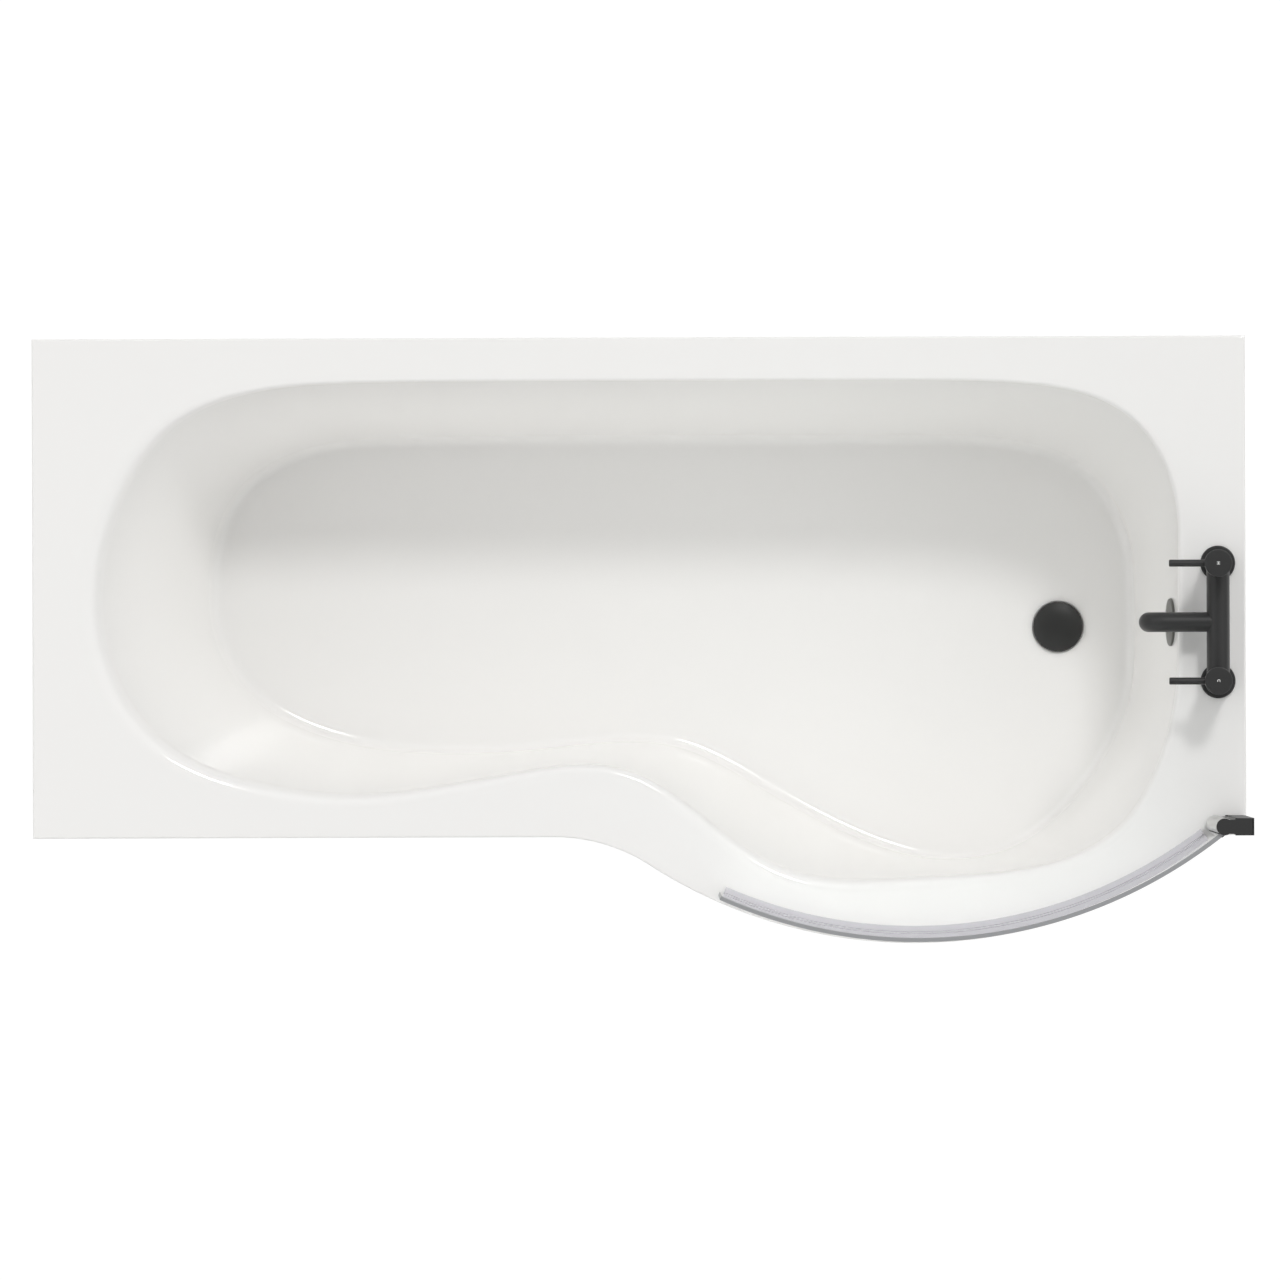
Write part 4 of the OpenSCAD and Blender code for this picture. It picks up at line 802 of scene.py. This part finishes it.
def section(i, t):
    """Points of the skin: inside, over the rim and its lip, and back underneath."""
    b, c, roll = spline(1, i, t), spline(2, i, t), spline(3, i, t)
    out = (b - c)/np.linalg.norm(b - c)
    top, foot = b - roll*out, c + FLOOR_ROUND*out
    rim, low = flat(top, RIM_Z), flat(foot, floor_at(foot[0]))
    lean = np.linalg.norm(top - foot)/(RIM_Z - low[2])
    side = SKIN*math.sqrt(1 + lean*lean)
    rim_under = flat(top + out*(side - SKIN*lean), RIM_Z - SKIN)
    low_under = flat(foot + out*(side - (low[2] - UNDER_Z)*lean), UNDER_Z)
    inside = wall(rim, low, out, roll, FLOOR_ROUND, roll, 12, 6, 14)
    inside[0][2] = floor_at(inside[0][0])
    start, stop = inside[-1], flat(edge(i, t, EDGE_ROUND), RIM_Z)
    rim_flat = [start + (stop - start)*k/3 for k in (1, 2)]
    turn = [(EDGE_ROUND*(1 - math.sin(a)), EDGE_ROUND*(1 - math.cos(a)))
            for a in np.linspace(0, math.pi/2, 6)]
    lip = [flat(edge(i, t, inset), RIM_Z - drop) for inset, drop in turn + [
        (0, LIP_H - 1), (1, LIP_H), (LIP_T - 1, LIP_H), (LIP_T, LIP_H - 1), (LIP_T, SKIN)]]
    under = wall(rim_under, low_under, out, 2, FLOOR_ROUND + 3, 2, 4, 5, 2)
    return [*inside, *rim_flat, *lip], under[::-1]


# %% Loft the sections
rows, back = [], 0                # back: where a section turns to the sprayed side
for i in range(len(STATIONS)):
    for k in range(BETWEEN):
        front_side, back_side = section(i, k/BETWEEN)
        back = len(front_side) - 2
        rows.append([*front_side, *back_side])
m, n = len(rows[0]), len(rows)
faces, kinds = [], []
for j in range(n):
    for k in range(m - 1):
        faces.append([j*m + k, j*m + k + 1, (j + 1) % n*m + k + 1, (j + 1) % n*m + k])
        kinds.append(int(k >= back))
faces += [[j*m for j in range(n)], [j*m + m - 1 for j in range(n)]]
kinds += [0, 1]
tub = solid([p for row in rows for p in row], faces, kinds)
print("skin of the tub:", n, "sections of", m, "points")

# %% Where the fittings sit, in mm
PILLAR_X, TAP_Y, PILLAR_GAP = 811, 23.5, 165
PILLAR_YS = (TAP_Y + PILLAR_GAP/2, TAP_Y - PILLAR_GAP/2)
SEAT_Z = FLOOR_Z - 3              # the waste's flange sits 3 mm below the floor
(break_x, _), (corner_x, _), roll = STATIONS[9][1:]
foot_x = corner_x + FLOOR_ROUND
WALL_LEAN = (break_x - roll - foot_x)/(RIM_Z - floor_at(foot_x))
WALL_TURN = (0, math.degrees(math.atan(WALL_LEAN)) - 90, 0)
OVERFLOW_DROP = 62
OVERFLOW_X = break_x - roll - OVERFLOW_DROP*WALL_LEAN
overflow = at(OVERFLOW_X, TAP_Y, RIM_Z - OVERFLOW_DROP, WALL_TURN)
print("the wall at the taps leans in", round(WALL_LEAN, 3), "mm for each mm of height")

# %% Holes for the waste, the overflow and the filler
# (radius, height over the seat): the floor dips softly to the waste, and stays
# within 1 mm of the plug, so that no open ring shows round it
DIP = [(35.5, 0), (35.6, 1.5), (36.1, 2.1), (37.2, 2.45), (40, 2.7), (44, 2.95), (48, 3.15),
       (60, 4.2), (0, 4.2)]
TUBE_HOLE_R, DEEP = 25.5, UNDER_Z - 40
waste_hole = [(0, DEEP), (TUBE_HOLE_R, DEEP), (TUBE_HOLE_R, SEAT_Z),
              *[(r, SEAT_Z + height) for r, height in DIP]]
holes = [turned(waste_hole, 128, at(WASTE_X, WASTE_Y)), sleeve(0, 24, -21, 21, place=overflow)]
holes += [sleeve(0, 15.2, -20, 9, place=at(PILLAR_X, y, RIM_Z)) for y in PILLAR_YS]
for hole in holes:
    tub = combined(tub, hole)
keep("moulded_tub", tub, [acrylic, backing], "bath_shell", crease=40)

# %% [markdown]
# ## Front panel and timber
# The panel hangs behind the rim's lip and follows its line: straight, round the
# hollow neck, and round the bulge. It is an acrylic sheet 4 mm thick, so a long
# thin prism with eased edges is right. The timbers behind it are sawn battens
# screwed to the rim and the floor, whose solids only need their edges eased.

# %% Front panel, battens and board
PANEL_OUT, PANEL_T = 5.8, 4
PANEL_Z, PANEL_TOP = 2, 541
panel_xs = [*np.linspace(FOOT_X + PANEL_OUT, NECK_X - 2, 12), *np.linspace(NECK_X, JOIN, 60),
            *np.linspace(JOIN + 6, LEDGE_X - 8, 150)]


def panel_face(inset):
    """Plan of one face of the panel, drawn in from the rim's edge by inset."""
    corner = BULGE_X + math.sqrt((BULGE_R - inset)**2 - (BULGE_Y - FRONT_Y - inset)**2)
    return [(x, edge_y(x, inset)) for x in [*panel_xs, corner, TAP_X - PANEL_OUT]]


outline = panel_face(PANEL_OUT) + panel_face(PANEL_OUT + PANEL_T)[::-1]
keep("curved_front_panel", prism(outline, PANEL_Z, PANEL_TOP, ease=0.8), [acrylic],
     "front_panel")
keep_eased(timber, 0.8, rim_batten_wall="batten_along_wall",
           rim_batten_front="batten_along_front", panel_floor_batten="batten_on_floor")
keep_eased(chipboard, 1.0, base_board="base_board_of_flakes")

# %% [markdown]
# ## Cradle, screws and feet
# Two folded steel rails cross under the board, and a fifth leg stands in the
# middle. Screws and nuts repeat, so one of each is made and a Geometry Nodes
# tree sets copies of it on a list of places. A thread is a ridge that winds up
# a rod, which is a helix swept with a small section, also in nodes.

# %% Rails and brackets
keep_eased(zinc, 0.7, cradle_rail_foot_end="rail_at_foot_end",
           cradle_rail_tap_end="rail_at_tap_end")
keep_eased(zinc, 0.5, centre_leg_bracket="bracket_of_middle_leg")
keep_eased(zinc, 0.6, wall_brackets="brackets_to_long_wall")

# %% A tree that sets copies on places
tree, given = new_tree("copies_on_places", Piece="Object", Places="Object")
spots = add(tree, "GeometryNodeMeshToPoints", {"Mesh": shape_of(tree, given["Places"])})
copies_tree = close_tree(tree, given, set_out(tree, spots.outputs[0], given["Piece"]))


def copies(mesh, places, finish):
    """Copies of a mesh on places in mm, set out by Geometry Nodes."""
    return grow(copies_tree, Piece=helper(mesh), Places=line_of(places), Finish=finish)


# %% Screws under the board and in the panel
FOOT_RAIL_X, TAP_RAIL_X, BOARD_Z = -420, 470, 135
RAIL_T, BRACKET_T, HEAD_H = 1.6, 3, 3
LEG_X, LEG_Y, LEG_HOLES_R = 20, 60, 36


def screw(profile, ease, slot_z, depth, arm):
    """Turned screw with a crossed slot, whose arms get narrower as they go in."""
    blade = solid([(x*arm*(1 - 0.55*z), y*(0.45 - 0.15*z), z*depth)
                   for x in (-1, 1) for y in (-1, 1) for z in (0, 1)], BOX_FACES)
    slot = combined(blade, moved(blade, at(turn=(0, 0, 90))), "UNION")
    return combined(turned(eased(profile, ease), n=32), moved(slot, at(z=slot_z)))


pan_head = screw([(0, 0), (4.2, 0), (5, 1.2), (5, HEAD_H), (2.5, HEAD_H), (2.5, 11.8),
                  (0, 12.8)], 0.4, slot_z=-0.05, depth=1.8, arm=2.6)
spots = [(x, y, BOARD_Z - RAIL_T - HEAD_H) for x in (FOOT_RAIL_X, TAP_RAIL_X)
         for y in (196, 45, -78)]
spots += [(LEG_X + LEG_HOLES_R*math.cos(a), LEG_Y + LEG_HOLES_R*math.sin(a),
           BOARD_Z - BRACKET_T - HEAD_H) for a in np.radians((45, 135, 225, 315))]
keep("pan_head_screws", copies(pan_head, spots, zinc), [zinc], "rail_screws")
raised_head = screw([(0, -2.2), (3.5, -1.6), (4.5, 0), (1.8, 0), (1.8, 12.5), (0, 14)],
                    0.3, slot_z=-2.15, depth=1.4, arm=2)
raised_head.transform(at(turn=(-90, 0, 0)))
spots = [(x, FRONT_Y + PANEL_OUT, 11) for x in (FOOT_X + 80, (FOOT_X + NECK_X)/2,
                                                NECK_X - 50)]
keep("raised_head_screws", copies(raised_head, spots, zinc), [zinc], "panel_screws")

# %% A tree that winds a thread
tree, given = new_tree("wound_thread", Radius="Float", Ridge="Float", Height="Float",
                       Turns="Float")
helix = add(tree, "GeometryNodeCurveSpiral", {"Resolution": 24, "Rotations": given["Turns"],
            "Start Radius": given["Radius"], "End Radius": given["Radius"],
            "Height": given["Height"]})
diamond = add(tree, "GeometryNodeCurvePrimitiveCircle", {"Resolution": 4,
              "Radius": given["Ridge"]})
thread_tree = close_tree(tree, given, sweep(tree, upright(tree, helix.outputs[0]),
                                            diamond.outputs[0]))


def threaded(r, low, high, pitch, finish):
    """A thread of radius r from low to high, in mm. Its ridge is 0.42 pitch deep."""
    ridge = grow(thread_tree, Radius=(r - 0.42*pitch)/1000, Ridge=0.42*pitch/1000,
                 Height=(high - low)/1000, Turns=(high - low)/pitch, Finish=finish)
    ridge.transform(at(z=low))
    return ridge


# %% Feet: threaded studs, pads and lock nuts
FEET = [(FOOT_RAIL_X, 330), (FOOT_RAIL_X, -205), (TAP_RAIL_X, 330), (TAP_RAIL_X, -340),
        (LEG_X, LEG_Y)]
STUD_TOPS = [168, 168, 168, 168, BOARD_Z - 2]
pad = turned(eased([(0, 0), (23.5, 0), (25, 1.5), (25, 6), (22, 8), (11, 10), (9, 22),
                    (5.15, 22), (5.15, 8), (0, 8)], 1.2), n=72)
for k, ((x, y), top) in enumerate(zip(FEET, STUD_TOPS), 1):
    rod = turned(eased([(0, 8), (4.35, 8), (4.35, top - 1), (3.6, top), (0, top)], 0.3), n=32)
    stud = together(rod, threaded(5, 24, top - 2, 1.5, zinc))
    stud.transform(at(x, y))
    keep(f"threaded_stud_{k}", stud, [zinc], f"levelling_stud_{k}")
    keep(f"nylon_foot_{k}", moved(pad, at(x, y)), [nylon], f"foot_pad_{k}")


def hex_nut(h, across, bore):
    """Nut with its six corners turned off on both faces."""
    corner = across/2/math.cos(math.pi/6)
    sawn = prism([(corner*math.cos(a), corner*math.sin(a))
                  for a in np.linspace(0, 2*math.pi, 7)[:-1]], 0, h, ease=0.15)
    turning = turned([(bore, 0.6), (bore + 0.6, 0), (across/2 - 0.1, 0), (corner, 0.12*h + 0.6),
                      (corner, 0.88*h - 0.6), (across/2 - 0.1, h), (bore + 0.6, h),
                      (bore, h - 0.6)], n=48)
    return combined(sawn, turning, "INTERSECT")


nut_spots = [(x, y, z) for x, y in FEET[:4] for z in (BOARD_Z, BOARD_Z - 9.6)]
keep("hex_lock_nuts", copies(hex_nut(8, 17, 5.05), nut_spots, zinc), [zinc], "lock_nuts")

# %% [markdown]
# ## Waste, trap and overflow
# The waste is a black flange and a domed plug that clicks up and down on a stem
# in a guide. Under it hang a moulded body and a shallow trap. A ribbed hose runs
# up from the body to the back of the overflow. Turned parts are lathe profiles,
# and the hose is a circle swept along its route with a radius that swells and
# shrinks with the distance along it, so that every rib follows the bend.

# %% Flange, plug and washers
PLUG_R = 34.6
waste = at(WASTE_X, WASTE_Y, SEAT_Z + 2)
flange = turned(eased([(20, 1.5), (20, -39), (24, -39), (24, 0), (PLUG_R, 0), (35.1, 2),
                       (33.6, 3), (23, 3)], 0.5), n=128)
window = block((16, 28), (-4.5, 4.5), (-33, -21))
for turn in (0, 90, 180, 270):
    flange = combined(flange, moved(window, at(turn=(0, 0, turn))))
spoke = prism([(7, -1.5), (20.5, -1.5), (20.5, 1.5), (7, 1.5)], -20.1, -12.1, ease=0.4)
guide = together(sleeve(5.1, 9, -20.1, -12.1, 0.5, n=48),
                 moved(spoke, *[at(turn=(0, 0, a)) for a in (30, 150, 270)]))
flange = moved(together(flange, guide), waste)
keep("waste_flange_and_guide", flange, [enamel], "waste_flange")

dome = [(PLUG_R*s, 4 + 5*(1 - s**3)) for s in np.linspace(0, 1, 25)[:-2]]
plug = turned([*dome, (33.6, 4.7), (34.3, 4.1), (PLUG_R, 3.2), (PLUG_R, 0.8), (34.3, 0.25),
               (33.8, 0), (18.6, 0), (17.8, -0.4), (9.5, -5.6), (8.6, -6), (5, -6),
               (5, -25.4), (4.4, -26), (0, -26)], 128, at(WASTE_X, WASTE_Y, SEAT_Z + 5.4))
keep("domed_click_plug", plug, [enamel], "waste_plug")
keep_eased(rubber, 0.3, waste_seal_upper="washer_over_floor",
           waste_seal_lower="washer_under_floor")

# %% A tree that sets ribs round a ring
tree, given = new_tree("ribs_round_a_ring", Piece="Object", Count="Int")
spots = add(tree, "GeometryNodePoints", {"Count": given["Count"]}).outputs[0]
angle = maths(tree, "MULTIPLY", add(tree, "GeometryNodeInputIndex").outputs[0],
              maths(tree, "DIVIDE", 2*math.pi, given["Count"]))
turn = add(tree, "ShaderNodeCombineXYZ", {"Z": angle})
turn = add(tree, "FunctionNodeEulerToRotation", {"Euler": turn.outputs[0]}).outputs[0]
ribs_tree = close_tree(tree, given, set_out(tree, spots, given["Piece"], Rotation=turn))


def grip_nut(bore, r, ease, n, count, wide):
    """Nut 14 mm high with upright ribs round it for the fingers."""
    bar = prism([(r - 1, -wide), (r + 0.35, -wide*0.6), (r + 0.35, wide*0.6), (r - 1, wide)],
                1.5, 12.5, ease=0.25)
    return together(sleeve(bore, r, 0, 14, ease, n),
                    grow(ribs_tree, Piece=helper(bar), Count=count, Finish=moulded))


# %% Body, trap and their grip nut
TRAP_TOP = 91
keep_eased(moulded, 0.8, waste_body="moulded_waste_body", trap_body="shallow_trap")
grip = grip_nut(23.2, 33.6, 1, n=96, count=36, wide=1.2)
keep("trap_grip_nut", moved(grip, at(WASTE_X, WASTE_Y, TRAP_TOP)), [moulded], "trap_nut")

# %% A tree that sweeps a ribbed hose
# The radius dips once in every pitch, except along the smooth cuff at each end
tree, given = new_tree("ribbed_hose", Route="Object", Radius="Float", Depth="Float",
                       Pitch="Float", Cuff="Float", Step="Float")
even = add(tree, "GeometryNodeResampleCurve", {"Curve": curve_of(tree, given["Route"]),
           "Length": given["Step"]}, mode="LENGTH")
run = add(tree, "GeometryNodeSplineParameter").outputs["Length"]
whole = add(tree, "GeometryNodeSplineLength").outputs["Length"]
past = maths(tree, "SUBTRACT", run, given["Cuff"])
turns = maths(tree, "DIVIDE", past, given["Pitch"])
swell = maths(tree, "COSINE", maths(tree, "MULTIPLY", turns, 2*math.pi))
dip = maths(tree, "MULTIPLY_ADD", swell, 0.5, 0.5)
before_end = maths(tree, "LESS_THAN", run, maths(tree, "SUBTRACT", whole, given["Cuff"]))
ribbed = maths(tree, "MULTIPLY", maths(tree, "GREATER_THAN", past, 0.0), before_end)
depth = maths(tree, "MULTIPLY", given["Depth"], maths(tree, "MULTIPLY", dip, ribbed))
circle = add(tree, "GeometryNodeCurvePrimitiveCircle", {"Resolution": 36, "Radius": 1.0})
hose_tree = close_tree(tree, given, sweep(
    tree, even.outputs[0], circle.outputs[0],
    Scale=maths(tree, "SUBTRACT", given["Radius"], depth)))

# %% Hose and its nuts
ELBOW_X, PORT_Z, ELBOW_Z, BEND_R = OVERFLOW_X + 35, 131, 438, 60
PORT_NUT, PORT_END = 44, 58              # nut and end of the hose, mm from the waste
run_out = math.hypot(ELBOW_X - WASTE_X, TAP_Y - WASTE_Y)
toward = np.array([ELBOW_X - WASTE_X, TAP_Y - WASTE_Y])/run_out


def on_plane(s, z):
    """Point of the upright plane through waste and overflow, s mm from the waste."""
    return (WASTE_X + toward[0]*s, WASTE_Y + toward[1]*s, z)


line = [on_plane(run_out, z) for z in np.linspace(ELBOW_Z, PORT_Z + BEND_R, 40)]
line += [on_plane(run_out - BEND_R + BEND_R*math.cos(a), PORT_Z + BEND_R - BEND_R*math.sin(a))
         for a in np.linspace(0, math.pi/2, 30)[1:]]
line += [on_plane(s, PORT_Z) for s in np.linspace(run_out - BEND_R, PORT_END, 8)[1:]]
hose = grow(hose_tree, Route=line_of(line), Radius=0.016, Depth=0.0026, Pitch=0.008,
            Cuff=0.032, Step=0.001, Finish=polythene)
keep("ribbed_overflow_hose", hose, [polythene], "overflow_hose", crease=50)
collar = grip_nut(12.1, 18.6, 0.8, n=64, count=20, wide=1)
hose_turn = (0, 90, math.degrees(math.atan2(toward[1], toward[0])))
keep("hose_grip_nuts", moved(collar, at(*on_plane(PORT_NUT, PORT_Z), hose_turn),
                             at(ELBOW_X, TAP_Y, ELBOW_Z)), [moulded], "hose_nuts")
keep_eased(moulded, 0.8, overflow_elbow="overflow_elbow_moulding")
keep_eased(rubber, 0.3, overflow_seal="overflow_washer")

# %% Rosette of the overflow
R, EDGE, MIDDLE = 33.5, 3.4, 6
dome_r = ((R - 1)**2 + (MIDDLE - EDGE)**2)/(2*(MIDDLE - EDGE))
face = [(dome_r*math.sin(a), MIDDLE - dome_r*(1 - math.cos(a)))
        for a in np.linspace(0, math.asin((R - 1)/dome_r), 24)]
face += [(R - 0.4, 3.1), (R, 2.5), (R, 0.4), (R - 0.4, 0), (R - 3.6, 0), (R - 4, 0.4),
         (R - 4, 2), (6, 2), (6, -27), (2.5, -27), (2.5, 3), (0, 3)]
rosette = turned(face, n=128)
notch = block((27.5, 35.5), (-4, 4), (-1, 2))
for turn in (120, 150, 180, 210, 240):
    rosette = combined(rosette, moved(notch, at(turn=(0, 0, turn))))
rosette.transform(overflow @ at(z=0.25))      # a quarter of a mm clear of the wall
keep("overflow_rosette_cover", rosette, [gunmetal], "overflow_rosette")

# %% [markdown]
# ## Bath filler
# Two pillars stand on the rim, each with a flange and a handle cap, and a cross
# tube joins them. The spout leaves the tube's middle and turns down. Each cap
# has a thin lever. All of it is tube and bar, so the lathe and a tube made of
# rings along a path give the shapes. The tubes are united by a boolean, which
# leaves the fine joint line that welded and coated pieces show.

# %% Pillars and cross tube
CROSS_Z, FLANGE_H = RIM_Z + 44, 6.5
pillar = sleeve(0, 18.5, FLANGE_H, 73, 0.5)
filler = sleeve(0, 16.25, 0, PILLAR_GAP, 0.5,
                place=at(PILLAR_X, PILLAR_YS[1], CROSS_Z, (-90, 0, 0)))
for y in PILLAR_YS:
    filler = combined(filler, moved(pillar, at(PILLAR_X, y, RIM_Z)), "UNION")
keep("filler_body", filler, [powder], "tap_body")

# %% Spout: rings along a path
def ring_tube(rings, n=72):
    """Mesh through rings in an upright plane: (x, z, direction in degrees, radius)."""
    points = []
    for x, z, way, r in rings:
        normal = math.radians(way + 90)
        points += [(x + r*math.cos(a)*math.cos(normal), r*math.sin(a),
                    z + r*math.cos(a)*math.sin(normal)) for a in
                   np.linspace(0, 2*math.pi, n, endpoint=False)]
    last = len(rings) - 1
    faces = [(j*n + k, j*n + (k + 1) % n, (j + 1)*n + (k + 1) % n, (j + 1)*n + k)
             for j in range(last) for k in range(n)]
    return solid(points, [*faces, list(range(n)), list(range(last*n, last*n + n))])


OUTLET_X, SPOUT_R, TURN_R, DROP = PILLAR_X - 97.15, 13.85, 22, 12
rings = [(PILLAR_X - 8, 0, 180, SPOUT_R), (OUTLET_X + TURN_R, 0, 180, SPOUT_R)]
rings += [(OUTLET_X + TURN_R - TURN_R*math.sin(a), TURN_R*math.cos(a) - TURN_R,
           180 + math.degrees(a), SPOUT_R) for a in np.linspace(0, math.pi/2, 25)[1:]]
rings += [(OUTLET_X, z - TURN_R, 270, r) for z, r in
          ((1.5 - DROP, SPOUT_R), (0.5 - DROP, SPOUT_R - 0.12), (0.12 - DROP, SPOUT_R - 0.5),
           (-DROP, SPOUT_R - 1), (0.4 - DROP, SPOUT_R - 2), (11 - DROP, SPOUT_R - 2.1))]
spout = ring_tube(rings)
spout.transform(at(0, TAP_Y, CROSS_Z))
keep("turned_down_spout", spout, [powder], "tap_spout")
keep_eased(plated, 0.15, spout_aerator="aerator_insert")

# %% Flanges, washers, caps, levers and spindles
on_pillars = [at(PILLAR_X, y, RIM_Z) for y in PILLAR_YS]
rosace = turned(eased([(13.8, 1.5), (24.5, 1.5), (24.5, 5), (23, FLANGE_H),
                       (13.8, FLANGE_H)], 0.7), n=128)
keep("pillar_flanges", moved(rosace, *on_pillars), [powder], "tap_flanges")
keep_eased(rubber, 0.2, tap_washers="pillar_washers")
cap = turned([(0, 115), (17.9, 115), (18.5, 114.9), (19, 114.6), (19.25, 114.1),
              (19.3, 113.5), (19.3, 76), (19.1, 75.3), (18.5, 75), (8, 75), (7.4, 75.4),
              (7.4, 82), (4.15, 82), (4.15, 97), (0, 97)], n=128)
outwards = at(-12.3, 0, 100, (0, -90, 0))       # where the lever starts in its cap
lever = turned(eased([(0, 0), (5, 0), (5, 56), (4.2, 57), (0, 57)], 0.8), 48, outwards)
cap = combined(cap, sleeve(0, 5.35, 0, 30, n=48, place=outwards))
for side, place in zip(("hot", "cold"), on_pillars):
    keep(f"{side}_handle_cap", moved(cap, place), [powder], f"{side}_cap")
    keep(f"{side}_handle_lever", moved(lever, place), [powder], f"{side}_lever")
    keep_eased(brass, 0.3, **{f"{side}_spindle": f"{side}_brass_spindle"})
    frame["nodes"][f"{side}_index"].data.materials[0] = printed
keep_eased(brass, 0.3, valve_cartridges="brass_cartridges")

# %% Threaded tails and back nuts
core = turned(eased([(9.2, -59), (12.5, -59), (12.5, -17), (13.6, -17), (13.6, 6.5),
                     (9.2, 6.5)], 0.3), n=64)
tail = together(core, threaded(13.2, -57.5, -18, 1.8, brass))
keep("threaded_tails", moved(tail, *on_pillars), [brass], "tap_tails")
keep("brass_back_nuts", copies(hex_nut(10, 38, 13.72), [(PILLAR_X, y, RIM_Z - 17)
     for y in PILLAR_YS], brass), [brass], "tap_backnuts")

# %% [markdown]
# ## The screen
# A sheet of toughened glass is bent to the bulge's arc and stands on the rim in
# a clear drip seal. One end sits in a gasket in a round tube, which turns on
# pins between two caps, and a channel on the wall carries the caps. Glass, seal
# and gasket all follow one arc, so one tree sweeps each section round it.

# %% A tree that sweeps a section round the bulge
tree, given = new_tree("strip_round_the_bulge", Section="Object", Radius="Float",
                       Start="Float", Sweep="Float", Count="Int")
arc = add(tree, "GeometryNodeCurveArc", {"Resolution": given["Count"], "Radius":
          given["Radius"], "Start Angle": given["Start"], "Sweep Angle": given["Sweep"]})
arc_tree = close_tree(tree, given, sweep(tree, upright(tree, arc.outputs["Curve"]),
                                         curve_of(tree, given["Section"])))


def round_bulge(section, start, end, finish, count=180):
    """Section of (radius, height) points in mm, swept between two angles in degrees."""
    middle = section[0][0]
    outline = line_of([(r - middle, -z) for r, z in section], closed=True)
    mesh = grow(arc_tree, Section=outline, Radius=middle/1000, Start=math.radians(start),
                Sweep=math.radians(end - start), Count=count, Finish=finish)
    mesh.transform(at(BULGE_X, BULGE_Y))
    return done(closed(opened(mesh)))


# %% Glass, with its edges ground round
PIVOT_X, PIVOT_IN = TAP_X - 44, 5.6      # the tube's axis lies inside the glass's arc
OUT_R, GLASS_T, GLASS_Z, TOP_Z = BULGE_R - 8.5, 6, RIM_Z + 5.6, 1955.6
IN_R, MIDDLE_R = OUT_R - GLASS_T, OUT_R - GLASS_T/2
PIVOT_Y = BULGE_Y - math.sqrt((MIDDLE_R - PIVOT_IN)**2 - (PIVOT_X - BULGE_X)**2)
SCREEN_END = math.degrees(math.atan2(PIVOT_Y - BULGE_Y, PIVOT_X - BULGE_X)) - 0.4
SCREEN_START = SCREEN_END - 62.8         # degrees of the bulge that the glass covers
heights = [GLASS_Z, GLASS_Z + 3, TOP_Z - 3, TOP_Z]
pane = round_bulge([(IN_R, GLASS_Z), *[(OUT_R, z) for z in heights],
                    *[(IN_R, z) for z in heights[:0:-1]]], SCREEN_START, SCREEN_END, glass, 240)
made = opened(pane)
soften(made, 1.0, crease=60)
centre = Vector((BULGE_X/1000, BULGE_Y/1000, 0))
for patch in made.faces:
    out = patch.calc_center_median() - centre
    out.z = 0
    on_face = abs(abs(out.length*1000 - MIDDLE_R) - GLASS_T/2) < 0.02
    patch.material_index = 0 if on_face else 1
keep("curved_glass_pane", done(made), [glass, ground_edge], "glass_panel")

# %% Gasket, drip seal, tube, caps and channels
GASKET_T, PLAY = 0.8, 0.1
strips = []
for r in (IN_R, OUT_R + GASKET_T + PLAY):
    strip = [(r - GASKET_T, GLASS_Z), (r - PLAY, GLASS_Z), (r - PLAY, TOP_Z),
             (r - GASKET_T, TOP_Z)]
    strips.append(round_bulge(strip, SCREEN_END - 0.65, SCREEN_END + 0.1, rubber, 8))
keep("glass_gasket_strips", together(*strips), [rubber], "glass_gasket")

# The seal clips on both faces of the glass, and a soft fin of it reaches inwards
SEAL_TOP = GLASS_Z + 16
seal = [(OUT_R + 0.12, GLASS_Z), (OUT_R + 0.12, SEAL_TOP), (OUT_R + 1, SEAL_TOP),
        (OUT_R + 1, RIM_Z + 3), (IN_R - 1, RIM_Z + 3), (IN_R - 9.5, RIM_Z + 0.6),
        (IN_R - 9.5, RIM_Z + 2), (IN_R - 2, RIM_Z + 6), (IN_R - 1, SEAL_TOP),
        (IN_R - 0.12, SEAL_TOP), (IN_R - 0.12, GLASS_Z)]
keep("clear_drip_seal", round_bulge(seal, SCREEN_START + 0.5, SCREEN_END - 1.4, vinyl, 200),
     [vinyl], "bottom_seal")
keep_eased(anodised, 0.3, pivot_tube="pivot_tube_of_screen")
keep_eased(powder, 0.7, pivot_cap_top="upper_pivot_cap", pivot_cap_bottom="lower_pivot_cap")
keep_eased(powder, 0.25, wall_channel="channel_on_wall",
           adjust_profile="sliding_inner_profile")
